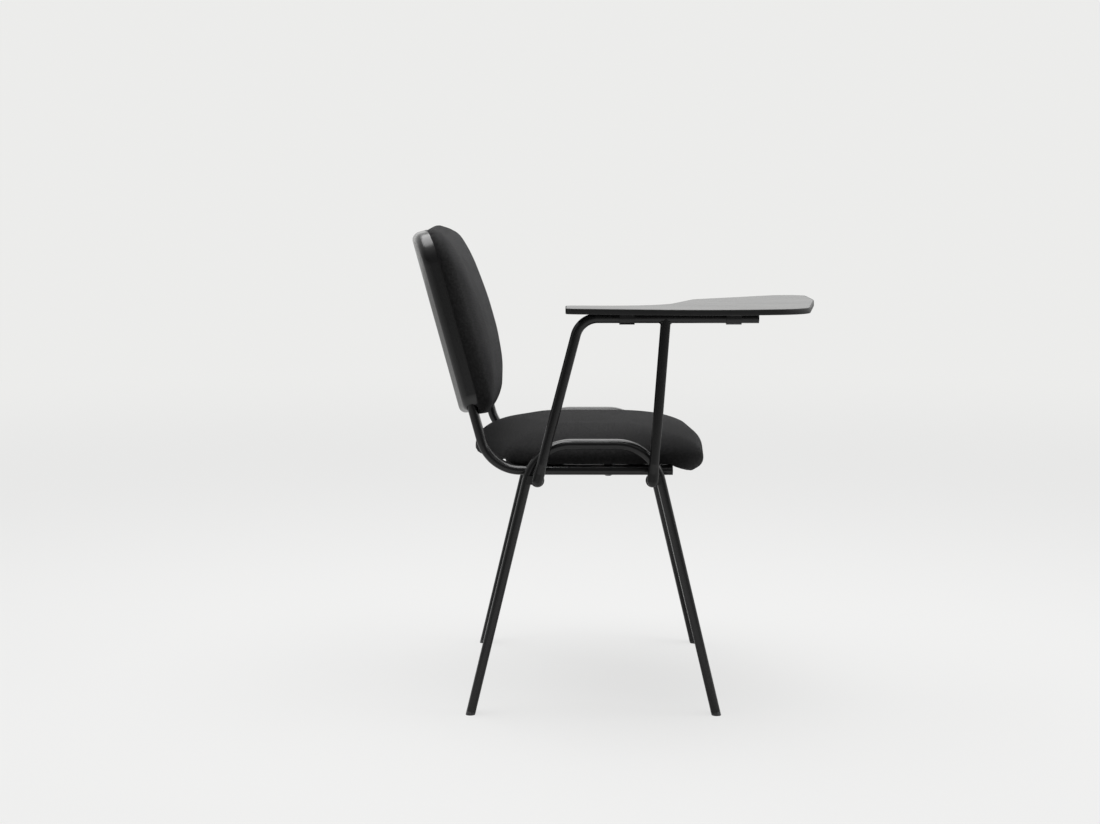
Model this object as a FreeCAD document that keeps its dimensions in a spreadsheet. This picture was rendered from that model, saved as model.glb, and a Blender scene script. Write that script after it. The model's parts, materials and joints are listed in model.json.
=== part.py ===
import FreeCAD, Part
import math
import os
import re
import Sketcher
from FreeCAD import Placement, Rotation, Vector

# Tablet arm chair. X points forward, Y to the sitter's left, Z up, in millimetres.
# It is drawn about the point on the floor midway between the four feet, and its finished pieces are then
# moved together so that the origin lies on the floor under the middle of the whole chair.

doc = FreeCAD.newDocument("TabletArmChair")
sheet = doc.addObject("Spreadsheet::Sheet", "Sizes")

SIZES = {
    # the middle of the whole chair, seen from the middle of its feet
    "middle_ahead": 42,
    "middle_right": 47,
    # flat-oval frame tube
    "tube_wide": 30,
    "tube_thick": 15,
    "tube_wall": 1.5,
    # leg frames
    "frame_spacing": 500,
    "foot_reach": 200,
    "leg_splay": 13.5,
    "arch_height": 442.5,
    "arch_bend": 72.5,
    "foot_lift": 5.5,
    "glide_depth": 22,
    # plugs in tube ends
    "plug_play": 0.15,
    "plug_lip": 2,
    "plug_depth": 16,
    # tubes that carry the seat and the back
    "weld_gap": 0.4,
    "weld_radius": 5,
    "run_height": 397,
    "run_front": 126,
    "back_corner": 169,
    "back_bend": 66.5,
    "back_recline": 15.2,
    "upright_length": 330,
    "cross_front": 70,
    "cross_rear": 62,
    # bolts and tee nuts
    "bolt_inboard": 6.5,
    "bolt_radius": 3,
    "bolt_head_radius": 6,
    "bolt_head": 3,
    "bolt_play": 0.3,
    "thread_play": 0.1,
    "tee_barrel": 4,
    "tee_flange": 8,
    "tee_flange_thick": 1.6,
    "tee_play": 0.2,
    # seat
    "spacer_height": 4,
    "spacer_radius": 7,
    "seat_bolt_front": 24,
    "seat_bolt_rear": 90,
    "seat_half": 232,
    "seat_front": 193,
    "seat_front_bow": 14,
    "seat_front_round": 700,
    "seat_front_corner": 65,
    "seat_rear": 224,
    "seat_rear_bow": 96,
    "seat_rear_round": 260,
    "seat_rear_corner": 60,
    "seat_edge": 6,
    "seat_crown": 47,
    "seat_roll_front": 165,
    "seat_roll_side": 165,
    "seat_roll_rear": 90,
    "seat_tuck": 16,
    "seat_lip": 19,
    "seat_lip_long": 70,
    "seat_lip_slope": 52,
    "seat_board_thick": 12,
    "seat_board_inset": 6,
    "seat_board_short": 82,
    "cover_thick": 1.2,
    "cloth_margin": 45,
    "cloth_play": 0.3,
    # back, measured along the upright tubes from the corner of their bend
    "back_half": 242,
    "back_top": 405,
    "back_top_bow": 8,
    "back_top_round": 900,
    "back_top_corner": 52,
    "back_foot": 95,
    "back_foot_bow": 24,
    "back_foot_round": 600,
    "back_foot_corner": 26,
    "back_curve": 1200,
    "back_seat_gap": 0.3,
    "back_board_thick": 10,
    "back_board_inset": 7,
    "back_edge": 20,
    "back_crown": 54.5,
    "back_roll_top": 175,
    "back_roll_side": 110,
    "back_roll_foot": 140,
    "back_tuck": 4,
    "back_bolt_low": 160,
    "back_bolt_high": 300,
    "shell_depth": 24,
    "shell_wall": 2.5,
    "shell_inset": 2,
    "shell_drop": 1,
    "shell_lift": 8,
    "shell_round": 12,
    "shell_gap": 0.3,
    "shell_play": 1,
    "post_radius": 7,
    "post_tip": 3,
    "post_side": 120,
    "post_low": 150,
    "post_high": 320,
    # arm
    "arm_tube": 16,
    "arm_wall": 1.5,
    "arm_offset": 25.5,
    "rail_height": 646.2,
    "rail_front": 257,
    "arm_bend": 36,
    "rear_post_foot": 90.5,
    "rear_post_lean": 14.6,
    "front_post_foot": 93.5,
    "front_post_lean": 4.2,
    "paddle_height": 386,
    "paddle_radius": 9,
    "paddle_thick": 14,
    "paddle_round": 6.5,
    "paddle_neck": 12,
    "paddle_taper": 16,
    "lug_radius": 11,
    "lug_thick": 5,
    "lug_bridge": 14,
    "stud_radius": 3,
    "stud_end": 1.5,
    "washer_radius": 6,
    "washer_thick": 1.6,
    "nut_flats": 10,
    "nut_thick": 5,
    # rest bars under the tablet
    "rest_long": 22,
    "rest_wide": 46,
    "rest_thick": 3,
    "rest_front": 176,
    "rest_rear": 86,
    "rest_gap": 0.3,
    "rest_inset": 4,
    # tablet, measured sideways from the axis of the rail
    "tablet_gap": 0.3,
    "tablet_thick": 9,
    "band_thick": 2,
    "tablet_rear": 46,
    "tablet_rear_outer": 48,
    "tablet_rear_inner": 55,
    "tablet_rear_corner": 15,
    "tablet_bulge_ahead": 185,
    "tablet_bulge": 97,
    "tablet_bulge_round": 360,
    "tablet_front": 332,
    "tablet_front_outer": 52,
    "tablet_front_corner": 80,
    "tablet_nose_ahead": 382,
    "tablet_nose": 255,
    "tablet_nose_round": 800,
    "tablet_tip_ahead": 392,
    "tablet_tip": 464,
    "tablet_tip_round": 28,
    "tablet_far_ahead": 338,
    "tablet_far": 460,
    "tablet_far_round": 50,
    "tablet_shoulder_ahead": 175,
    "tablet_shoulder": 282,
    "tablet_shoulder_round": 60,
    "tablet_waist_ahead": 107,
    "tablet_waist": 43,
    "tablet_waist_round": 110,
    # hinge saddles
    "saddle_long": 24,
    "saddle_thick": 2,
    "saddle_play": 0.3,
    "saddle_flange": 14,
    "saddle_front": 219.5,
    "saddle_rear": 51,
    "screw_radius": 1.8,
    "screw_head_radius": 3.5,
    "screw_head": 2,
    "screw_bite": 6,
    "screw_step": 12,
}

for row, (alias, size) in enumerate(SIZES.items(), 1):
    sheet.set(f"A{row}", alias)
    sheet.set(f"B{row}", str(size))
    sheet.setAlias(f"B{row}", alias)
doc.recompute()

# Places worked out from the sizes, as expressions
TUBE_Y = "(frame_spacing / 2 - tube_wide - weld_gap)"
BOLT_Y = f"({TUBE_Y} - bolt_inboard)"
BOLT_HOLE = "(bolt_radius + bolt_play)"
BORE_WIDE = "(tube_wide - 2 * tube_wall)"
BORE_THICK = "(tube_thick - 2 * tube_wall)"
PLUG_WIDE = f"({BORE_WIDE} - 2 * plug_play)"
PLUG_THICK = f"({BORE_THICK} - 2 * plug_play)"
LEG_TOP_X = "(foot_reach - arch_height * tan(leg_splay))"
LEG_END_X = "(foot_reach - foot_lift * tan(leg_splay))"
LEG_AT_LUG_X = "(foot_reach - paddle_height * tan(leg_splay))"
TUBE_TOP = "(run_height + tube_thick / 2)"
TUBE_UNDER = "(run_height - tube_thick / 2)"
SEAT_UNDER = f"({TUBE_TOP} + spacer_height)"
SEAT_BOARD_UNDER = f"({SEAT_UNDER} + cover_thick)"
SEAT_BOARD_TOP = f"({SEAT_BOARD_UNDER} + seat_board_thick)"
ARM_Y = "(-frame_spacing / 2 - arm_offset)"
LUG_FACE_Y = f"({ARM_Y} + arm_tube / 2)"
POST_START = "(paddle_neck + paddle_taper)"
REAR_TOP_X = "(-rear_post_foot + (rail_height - paddle_height) * tan(rear_post_lean))"
TABLET_UNDER = "(rail_height + arm_tube / 2 + tablet_gap)"
# The back is curved sideways about an axis in front of it, parallel to the upright tubes.
# Its board touches the flat of each tube at the flat's inner edge.
FLAT_EDGE_Y = f"({TUBE_Y} - (tube_wide - tube_thick) / 2)"
CURVE_X = ("(tube_thick / 2 + back_seat_gap"
           f" + sqrt(back_curve * back_curve - {FLAT_EDGE_Y} * {FLAT_EDGE_Y}))")
BOARD_FRONT_CURVE = "(back_curve - back_board_thick)"
SHELL_CURVE = "(back_curve + shell_depth)"

X_AXIS = Vector(1, 0, 0)
Y_AXIS = Vector(0, 1, 0)
Z_AXIS = Vector(0, 0, 1)


def full(expression):
    """An expression with every size named as a cell of the sheet."""
    return re.sub(r"[a-z_]+", lambda word: "Sizes." * (word[0] in SIZES) + word[0], expression)


def num(expression):
    """The present value of an expression."""
    return float(sheet.evalExpression(full(expression)))


def bind(thing, **sizes):
    """Bind properties of an object to expressions; a double underscore stands for a dot."""
    for name, expression in sizes.items():
        thing.setExpression(name.replace("__", "."), full(expression))
    return thing


def place(thing, x="0", y="0", z="0", axis=Z_AXIS, turn="0"):
    """Put an object at a bound place, turned about one axis by a bound angle."""
    thing.Placement = Placement(Vector(num(x), num(y), num(z)), Rotation(axis, num(turn)))
    bind(thing, Placement__Base__x=x, Placement__Base__y=y, Placement__Base__z=z)
    if turn != "0":
        bind(thing, Placement__Rotation__Angle=turn)
    return thing


def place_back(thing, y="0"):
    """Put an object of the back, drawn upright, on the reclined tubes."""
    return place(thing, "-back_corner", y, "run_height", Y_AXIS, "-back_recline")


# Sketches


def body(name):
    """A new body."""
    return doc.addObject("PartDesign::Body", name)


def origin_plane(owner, role):
    """One of the three planes of a body."""
    return next(p for p in owner.Origin.OriginFeatures if p.Role == role)


def sketch_on(owner, name, role, offset="0"):
    """A sketch on one of the body's origin planes, moved along the plane's normal."""
    drawing = owner.newObject("Sketcher::SketchObject", name)
    plane = origin_plane(owner, role)
    drawing.AttachmentSupport = [(plane, "")]
    drawing.MapMode = "FlatFace"
    if offset != "0":
        bind(drawing, AttachmentOffset__Base__z=offset)
    return drawing


def pin(drawing, geometry, point, x, y):
    """Hold a point of a sketch at a bound place."""
    for kind, expression, axis in (("DistanceX", x, -2), ("DistanceY", y, -1)):
        if expression == "0":
            drawing.addConstraint(Sketcher.Constraint("PointOnObject", geometry, point, axis))
            continue
        index = drawing.addConstraint(Sketcher.Constraint(kind, -1, 1, geometry, point, num(expression)))
        drawing.setExpression(f"Constraints[{index}]", full(expression))


def hold_radius(drawing, geometry, radius):
    """Hold the radius of a circle or an arc."""
    index = drawing.addConstraint(Sketcher.Constraint("Radius", geometry, num(radius)))
    drawing.setExpression(f"Constraints[{index}]", full(radius))


def corner_points(points, closed):
    """For each (x, y, radius) corner: where its arc starts and ends, its centre and its turn."""
    count = len(points)
    corners = []
    for i, (x, y, radius) in enumerate(points):
        here = Vector(x, y, 0)
        if radius == 0 or (not closed and i in (0, count - 1)):
            corners.append((here, here, None, 0))
            continue
        before = Vector(*points[i - 1][:2], 0)
        after = Vector(*points[(i + 1) % count][:2], 0)
        back = (before - here).normalize()
        ahead = (after - here).normalize()
        half = back.getAngle(ahead) / 2
        reach = radius / math.tan(half)
        centre = here + (back + ahead).normalize() * (radius / math.sin(half))
        turn = (here - before).cross(after - here).z
        corners.append((here + back * reach, here + ahead * reach, centre, turn))
    return corners


def add_outline(drawing, corners, closed=True):
    """Draw a run of straight lines whose corners are rounded, every corner bound to the sheet."""
    points = [(num(x), num(y), num(r) if r else 0) for x, y, r in corners]
    rounds = corner_points(points, closed)
    count = len(points)
    lines = []
    for i in range(count if closed else count - 1):
        start = rounds[i][1]
        end = rounds[(i + 1) % count][0]
        lines.append(drawing.addGeometry(Part.LineSegment(start, end)))
    for i, (x, y, radius) in enumerate(corners):
        into, out, centre, turn = rounds[i]
        line_in = lines[i - 1] if closed or i > 0 else None
        line_out = lines[i] if closed or i < count - 1 else None
        if centre is None:
            if line_in is not None and line_out is not None:
                drawing.addConstraint(Sketcher.Constraint("Coincident", line_in, 2, line_out, 1))
            if line_out is not None:
                pin(drawing, line_out, 1, x, y)
            else:
                pin(drawing, line_in, 2, x, y)
            continue
        first, last = (into, out) if turn > 0 else (out, into)
        angles = [math.atan2(p.y - centre.y, p.x - centre.x) for p in (first, last)]
        circle = Part.Circle(centre, Z_AXIS, num(radius))
        arc = drawing.addGeometry(Part.ArcOfCircle(circle, angles[0], angles[1]))
        corner = drawing.addGeometry(Part.Point(Vector(num(x), num(y), 0)), True)
        end_in, end_out = (1, 2) if turn > 0 else (2, 1)
        drawing.addConstraint(Sketcher.Constraint("Tangent", line_in, 2, arc, end_in))
        drawing.addConstraint(Sketcher.Constraint("Tangent", arc, end_out, line_out, 1))
        drawing.addConstraint(Sketcher.Constraint("PointOnObject", corner, 1, line_in))
        drawing.addConstraint(Sketcher.Constraint("PointOnObject", corner, 1, line_out))
        hold_radius(drawing, arc, radius)
        pin(drawing, corner, 1, x, y)


def add_oval(drawing, wide, thick, x="0", y="0", tall=False):
    """Draw a flat oval about (x, y), its long way along the sketch's y axis where it is tall."""
    half = f"(({wide}) - ({thick})) / 2"
    radius = f"({thick}) / 2"
    if tall:
        centres = [(x, f"{y} + {half}"), (x, f"{y} - {half}")]
        start = 0
    else:
        centres = [(f"{x} + {half}", y), (f"{x} - {half}", y)]
        start = -math.pi / 2
    arcs = []
    for i, (centre_x, centre_y) in enumerate(centres):
        circle = Part.Circle(Vector(num(centre_x), num(centre_y), 0), Z_AXIS, num(radius))
        arc = Part.ArcOfCircle(circle, start + i * math.pi, start + (i + 1) * math.pi)
        arcs.append(drawing.addGeometry(arc))
    ends = [(drawing.Geometry[a].StartPoint, drawing.Geometry[a].EndPoint) for a in arcs]
    first = drawing.addGeometry(Part.LineSegment(ends[0][1], ends[1][0]))
    second = drawing.addGeometry(Part.LineSegment(ends[1][1], ends[0][0]))
    chain = (arcs[0], first, arcs[1], second)
    for i, part in enumerate(chain):
        drawing.addConstraint(Sketcher.Constraint("Tangent", part, 2, chain[(i + 1) % 4], 1))
    for arc, (centre_x, centre_y) in zip(arcs, centres):
        pin(drawing, arc, 3, centre_x, centre_y)
        hold_radius(drawing, arc, radius)


def add_circle(drawing, radius, y="0"):
    """Draw a circle on the sketch's y axis."""
    circle = drawing.addGeometry(Part.Circle(Vector(0, num(y), 0), Z_AXIS, num(radius)))
    pin(drawing, circle, 3, "0", y)
    hold_radius(drawing, circle, radius)


# Solids


def pad(owner, drawing, length):
    """Pad a sketch along its normal."""
    feature = owner.newObject("PartDesign::Pad", drawing.Name + "Pad")
    feature.Profile = drawing
    bind(feature, Length=length)
    doc.recompute()
    return feature


def pipe(owner, profile, path):
    """Sweep a profile along a path sketch."""
    feature = owner.newObject("PartDesign::AdditivePipe", path.Name + "Pipe")
    feature.Profile = profile
    feature.Spine = path
    doc.recompute()
    return feature


def cylinder(name, radius, height, x="0", y="0", z="0", axis=Z_AXIS, turn="0"):
    """A round bar, standing along Z unless it is turned."""
    bar = doc.addObject("Part::Cylinder", name)
    bind(bar, Radius=radius, Height=height)
    return place(bar, x, y, z, axis, turn)


def across(name, radius, height, x, y, z):
    """A round bar along +Y."""
    return cylinder(name, radius, height, x, y, z, X_AXIS, "-90")


def along(name, radius, height, x, y, z):
    """A round bar along +X."""
    return cylinder(name, radius, height, x, y, z, Y_AXIS, "90")


def block(name, length, width, height, x, y, z):
    """A box from its low corner."""
    box = doc.addObject("Part::Box", name)
    bind(box, Length=length, Width=width, Height=height)
    return place(box, x, y, z)


def fuse(name, *pieces):
    """One solid of several."""
    joined = doc.addObject("Part::MultiFuse", name)
    joined.Shapes = list(pieces)
    return joined


def cut(name, base, tool):
    """One solid less another."""
    left = doc.addObject("Part::Cut", name)
    left.Base = base
    left.Tool = tool
    return left


def common(name, *pieces):
    """What several solids share."""
    shared = doc.addObject("Part::MultiCommon", name)
    shared.Shapes = list(pieces)
    return shared


def group(name, *pieces):
    """Separate solids in one object."""
    held = doc.addObject("Part::Compound", name)
    held.Links = list(pieces)
    return held


def extrude(name, drawing, length, direction):
    """A prism over a closed sketch or wire."""
    prism = doc.addObject("Part::Extrusion", name)
    prism.Base = drawing
    prism.DirMode = "Custom"
    prism.Dir = direction
    prism.Solid = True
    bind(prism, LengthFwd=length)
    return prism


nodes = []


def node(thing, label):
    """Name a finished sub-part and move it from the middle of the feet to the origin."""
    finished = place(group(thing.Name + "Placed", thing), "-middle_ahead", "middle_right")
    finished.Label = label
    nodes.append(finished)


SIDES = (("right", -1), ("left", 1))
ENDS = (("front", 1), ("rear", -1))

# Leg frames: a flat-oval tube bent to an upside-down U, drawn as one half and mirrored


def leg_frame(name, side, hollow):
    """One leg frame, or its outer form without the bore."""
    frame = body(name)
    path = sketch_on(frame, name + "Path", "XZ_Plane")
    add_outline(path, [("0", "arch_height", ""), (LEG_TOP_X, "arch_height", "arch_bend"),
                       (LEG_END_X, "foot_lift", "")], closed=False)
    section = sketch_on(frame, name + "Section", "YZ_Plane")
    add_oval(section, "tube_wide", "tube_thick", y="arch_height")
    if hollow:
        add_oval(section, BORE_WIDE, BORE_THICK, y="arch_height")
    half = pipe(frame, section, path)
    whole = frame.newObject("PartDesign::Mirrored", name + "Mirror")
    whole.Originals = [half]
    whole.MirrorPlane = (origin_plane(frame, "YZ_Plane"), [""])
    frame.Tip = whole
    return place(frame, y=f"{side} * frame_spacing / 2")


leg_forms = {}
for word, side in SIDES:
    node(leg_frame("LegFrame" + word, side, True), "side_frame_" + word)
    leg_forms[word] = leg_frame("LegForm" + word, side, False)

# Foot glides: a plug inside the leg and a sole below it, cut level with the floor


def foot_glide(name, end, side):
    """One glide, drawn along the leg and cut by the floor."""
    glide = body(name)
    sole = sketch_on(glide, name + "Sole", "XY_Plane", "-2 * foot_lift")
    add_oval(sole, "tube_wide", "tube_thick", tall=True)
    pad(glide, sole, "2 * foot_lift")
    plug = sketch_on(glide, name + "Plug", "XY_Plane")
    add_oval(plug, PLUG_WIDE, PLUG_THICK, tall=True)
    pad(glide, plug, "glide_depth")
    place(glide, f"{end} * {LEG_END_X}", f"{side} * frame_spacing / 2", "foot_lift",
          Y_AXIS, f"{-end} * leg_splay")
    room = block(name + "Room", "4 * tube_wide", "2 * tube_wide", "2 * glide_depth",
                 f"{end} * {LEG_END_X} - 2 * tube_wide", f"{side} * frame_spacing / 2 - tube_wide", "0")
    return common(name + "Cut", glide, room)


for end_word, end in ENDS:
    for word, side in SIDES:
        glide = foot_glide(f"Glide{end_word}{word}", end, side)
        node(glide, f"foot_glide_{end_word}_{word}")

# Seat-and-back tubes: one L-shaped flat-oval tube on each side, bored for the bolts


def seat_back_tube(name, side, hollow):
    """One tube that runs under the seat and up the back, or its outer form."""
    tube = body(name)
    path = sketch_on(tube, name + "Path", "XZ_Plane")
    top_x = "-(back_corner + upright_length * sin(back_recline))"
    top_z = "run_height + upright_length * cos(back_recline)"
    add_outline(path, [("run_front", "run_height", ""), ("-back_corner", "run_height", "back_bend"),
                       (top_x, top_z, "")], closed=False)
    section = sketch_on(tube, name + "Section", "YZ_Plane", "run_front")
    add_oval(section, "tube_wide", "tube_thick", y="run_height")
    if hollow:
        add_oval(section, BORE_WIDE, BORE_THICK, y="run_height")
    pipe(tube, section, path)
    return place(tube, y=f"{side} * {TUBE_Y}")


def bolt_bores(name, side):
    """The holes that the seat bolts and the back bolts take through one tube."""
    seat_bores = [cylinder(f"{name}Seat{i}", BOLT_HOLE, "2 * tube_thick", x, f"{side} * {BOLT_Y}",
                           "run_height - tube_thick")
                  for i, x in enumerate(("seat_bolt_front", "-seat_bolt_rear"))]
    back_bores = [along(f"{name}Back{i}", BOLT_HOLE, "2 * tube_thick", "-tube_thick",
                        f"{side} * {BOLT_Y}", z)
                  for i, z in enumerate(("back_bolt_low", "back_bolt_high"))]
    return group(name, *seat_bores, place_back(group(name + "Back", *back_bores)))


tube_forms = {}
for word, side in SIDES:
    tube = seat_back_tube("Tube" + word, side, True)
    node(cut("TubeBored" + word, tube, bolt_bores("TubeBores" + word, side)), "seat_back_tube_" + word)
    tube_forms[word] = seat_back_tube("TubeForm" + word, side, False)

# Weld beads between each leg and the tube that crosses it on the inside


def weld_bead(name, end, word, side):
    """One bead, filling the wedge between the two round tube sides."""
    x = f"{end} * (foot_reach - run_height * tan(leg_splay))"
    low = f"{side} * (frame_spacing / 2 - tube_wide / 2) - tube_thick / 2"
    bead = across(name + "Bar", "weld_radius", "tube_thick", x, low, "run_height")
    return cut(name + "Bead", cut(name + "Leg", bead, leg_forms[word]), tube_forms[word])


beads = []
for end_word, end in ENDS:
    for word, side in SIDES:
        beads.append(weld_bead(f"Weld{end_word}{word}", end, word, side))
node(group("Welds", *beads), "frame_weld_beads")

# Cross tubes between the two seat tubes, coped onto their round inner sides
both_tubes = fuse("BothTubeForms", *tube_forms.values())
for end_word, x in (("front", "cross_front"), ("rear", "-cross_rear")):
    cross = body("Cross" + end_word)
    section = sketch_on(cross, f"Cross{end_word}Section", "XZ_Plane", f"-{TUBE_Y}")
    add_oval(section, "tube_wide", "tube_thick", x, "run_height")
    add_oval(section, BORE_WIDE, BORE_THICK, x, "run_height")
    pad(cross, section, f"2 * {TUBE_Y}")
    node(cut(f"Cross{end_word}Coped", cross, both_tubes), end_word + "_cross_tube")

# Plugs in the open ends of the seat tubes and caps on the tops of the uprights
for word, side in SIDES:
    plug = body("Plug" + word)
    lip = sketch_on(plug, f"Plug{word}Lip", "YZ_Plane", "run_front")
    add_oval(lip, "tube_wide", "tube_thick", y="run_height")
    pad(plug, lip, "plug_lip")
    stem = sketch_on(plug, f"Plug{word}Stem", "YZ_Plane", "run_front - plug_depth")
    add_oval(stem, PLUG_WIDE, PLUG_THICK, y="run_height")
    pad(plug, stem, "plug_depth")
    node(place(plug, y=f"{side} * {TUBE_Y}"), "seat_tube_plug_" + word)
    cap = body("Cap" + word)
    lip = sketch_on(cap, f"Cap{word}Lip", "XY_Plane", "upright_length")
    add_oval(lip, "tube_wide", "tube_thick", tall=True)
    pad(cap, lip, "plug_lip")
    stem = sketch_on(cap, f"Cap{word}Stem", "XY_Plane", "upright_length - plug_depth")
    add_oval(stem, PLUG_WIDE, PLUG_THICK, tall=True)
    pad(cap, stem, "plug_depth")
    node(place_back(cap, f"{side} * {TUBE_Y}"), "upright_cap_" + word)

# Seat outline, seen from above, and the pillow that stands on it


def seat_plan(front="0", side="0", rear="0", scale="1"):
    """Corners of the seat's outline, drawn in by an inset at the front, the sides and the rear."""
    half = f"(seat_half - {side})"
    corners = [
        (f"seat_front - {front}", "0", f"{scale} * seat_front_round"),
        (f"seat_front - seat_front_bow - {front}", half, f"{scale} * seat_front_corner"),
        (f"seat_rear_bow - seat_rear + {rear}", half, f"{scale} * seat_rear_corner"),
        (f"{rear} - seat_rear", "0", f"{scale} * seat_rear_round"),
    ]
    return corners + [(x, f"-{y}", r) for x, y, r in (corners[2], corners[1])]


# A cushion's faces roll over from its widest level to its crown along quarter ellipses
ROLL_ANGLES = [math.radians(angle) for angle in (14, 28, 42, 55, 68, 80)]
# Below its widest level a cushion is tucked in; part way down it has a share of the tuck
TUCK_LEVEL = 0.6
TUCK_SHARE = 0.33
# Towards the crown the corners of a cushion's outline tighten by this power of its width
CORNER_POWER = 1.5


def cushion_levels(widest, low, tuck, rise, depths, skin):
    """Levels up a cushion: each one's height, then how far its three kinds of side are drawn in."""
    part = TUCK_SHARE * tuck
    levels = [(low, tuck, tuck, tuck), (TUCK_LEVEL * low, part, part, part), (0, 0, 0, 0)]
    for angle in ROLL_ANGLES:
        levels.append((rise * math.sin(angle), *(depth * (1 - math.cos(angle)) for depth in depths)))
    return [(widest + height, *(inset + skin for inset in insets)) for height, *insets in levels]


def rounded_wire(points):
    """A closed wire of straight lines and tangent arcs from (x, y, radius) corners."""
    rounds = corner_points(points, True)
    edges = []
    for i, (into, out, centre, turn) in enumerate(rounds):
        middle = Vector(points[i][0], points[i][1], 0) - centre
        middle = centre + middle.normalize() * points[i][2]
        edges.append(Part.Arc(into, middle, out).toShape())
        edges.append(Part.LineSegment(out, rounds[(i + 1) % len(rounds)][0]).toShape())
    return Part.Wire(edges)


def pillow(plan, half_width, levels):
    """A cushion lofted through levels of (height, front or top, side, rear or foot) insets."""
    half = num(half_width)
    wires = []
    for height, first, side, last in levels:
        scale = ((half - side) / half) ** CORNER_POWER
        corners = plan(str(first), str(side), str(last), str(scale))
        wire = rounded_wire([tuple(num(size) for size in corner) for corner in corners])
        wire.translate(Vector(0, 0, height))
        wires.append(wire)
    return Part.makeLoft(wires, True, False)


def seat_pillow(skin):
    """The seat cushion's form, a skin's thickness inside its cover."""
    drop = num("seat_edge + seat_lip")
    depths = [num("seat_roll_" + part) for part in ("front", "side", "rear")]
    levels = cushion_levels(num(f"{SEAT_UNDER} + seat_edge"), skin - drop, num("seat_tuck"),
                            num("seat_crown") - skin, depths, skin)
    form = pillow(seat_plan, "seat_half", levels)
    # the space under the board, behind the lip that the foam forms over the board's front edge
    under = num(SEAT_UNDER) + skin
    lip = num("seat_front - seat_lip_long")
    slope = num("seat_lip_slope")
    low = under - 3 * drop
    far = num("-2 * seat_rear")
    wide = num("2 * seat_half")
    corners = [(far, under), (lip, under), (lip + slope, under - drop), (lip + slope, low), (far, low)]
    points = [Vector(x, -wide, z) for x, z in corners]
    face = Part.Face(Part.makePolygon(points + points[:1]))
    return form.cut(face.extrude(Vector(0, 2 * wide, 0)))


def solid(name, shape):
    """An object whose shape is set here."""
    thing = doc.addObject("Part::Feature", name)
    thing.Shape = shape
    return thing


def plan_prism(name, corners, low, height):
    """A prism over an outline seen from above."""
    drawing = doc.addObject("Sketcher::SketchObject", name + "Outline")
    add_outline(drawing, corners)
    place(drawing, z=low)
    return extrude(name, drawing, height, Z_AXIS)


SEAT_BOLTS = [(f"{end_word}{word}", x, f"{side} * {BOLT_Y}")
              for end_word, x in (("Front", "seat_bolt_front"), ("Rear", "-seat_bolt_rear"))
              for word, side in SIDES]

# Seat board, with a stepped hole for each tee nut
board = plan_prism("SeatBoardPlate", seat_plan("seat_board_short", "seat_board_inset", "seat_board_inset"),
                   SEAT_BOARD_UNDER, "seat_board_thick")
steps = []
for name, x, y in SEAT_BOLTS:
    steps.append(cylinder("SeatBarrelHole" + name, "tee_barrel + tee_play", "seat_board_thick",
                          x, y, SEAT_BOARD_UNDER))
    steps.append(cylinder("SeatFlangeHole" + name, "tee_flange + tee_play", "tee_flange_thick",
                          x, y, f"{SEAT_BOARD_TOP} - tee_flange_thick"))
node(cut("SeatBoard", board, fuse("SeatBoardHoles", *steps)), "seat_board")

# Spacers, bolts and tee nuts of the seat
spacers = []
bolts = []
tees = []
bores = []
for name, x, y in SEAT_BOLTS:
    ring = cylinder("Spacer" + name, "spacer_radius", "spacer_height", x, y, TUBE_TOP)
    hole = cylinder("SpacerHole" + name, BOLT_HOLE, "spacer_height", x, y, TUBE_TOP)
    spacers.append(cut("SpacerRing" + name, ring, hole))
    head = cylinder("SeatBoltHead" + name, "bolt_head_radius", "bolt_head", x, y,
                    f"{TUBE_UNDER} - bolt_head")
    shank = cylinder("SeatBoltShank" + name, "bolt_radius",
                     f"{SEAT_BOARD_TOP} - {TUBE_UNDER} - tee_flange_thick", x, y, TUBE_UNDER)
    bolts.append(fuse("SeatBolt" + name, head, shank))
    barrel = cylinder("SeatTeeBarrel" + name, "tee_barrel", "seat_board_thick", x, y, SEAT_BOARD_UNDER)
    flange = cylinder("SeatTeeFlange" + name, "tee_flange", "tee_flange_thick", x, y,
                      f"{SEAT_BOARD_TOP} - tee_flange_thick")
    thread = cylinder("SeatTeeThread" + name, "bolt_radius + thread_play", "seat_board_thick", x, y,
                      SEAT_BOARD_UNDER)
    tees.append(cut("SeatTee" + name, fuse("SeatTeeWhole" + name, barrel, flange), thread))
    bores.append(cylinder("CoverHole" + name, BOLT_HOLE, "2 * spacer_height", x, y,
                          f"{SEAT_UNDER} - spacer_height"))
node(group("SeatSpacers", *spacers), "seat_spacers")
node(group("SeatBolts", *bolts), "seat_bolts")
node(group("SeatTees", *tees), "seat_tee_nuts")

# Dust cloth under the board, set in the opening of the cover


def cloth_plan(inset):
    """Corners of an outline behind the seat's lip, drawn in all round."""
    return seat_plan(f"({inset} + seat_lip_long)", inset, inset)


node(plan_prism("DustCloth", cloth_plan("(cloth_margin + cloth_play)"), SEAT_UNDER, "cover_thick"),
     "seat_dust_cloth")
opening = plan_prism("CoverOpening", cloth_plan("cloth_margin"), SEAT_UNDER, "cover_thick")
doc.recompute()

# Seat foam and its cover
seat_core = seat_pillow(num("cover_thick"))
seat_skin = seat_pillow(0).cut(seat_core).cut(opening.Shape)
for bore in bores:
    seat_skin = seat_skin.cut(bore.Shape)
node(solid("SeatFoam", seat_core.cut(board.Shape)), "seat_foam")
node(solid("SeatCover", seat_skin), "seat_cover")

# Back: drawn upright, x forward from the tubes' centre plane and z up along them, then reclined
FRONT_VIEW = Rotation(Vector(1, 1, 1), 120)
BACK_REAR = "(-back_crown - shell_depth)"
BACK_DEEP = "2 * (back_crown + shell_depth)"


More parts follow.
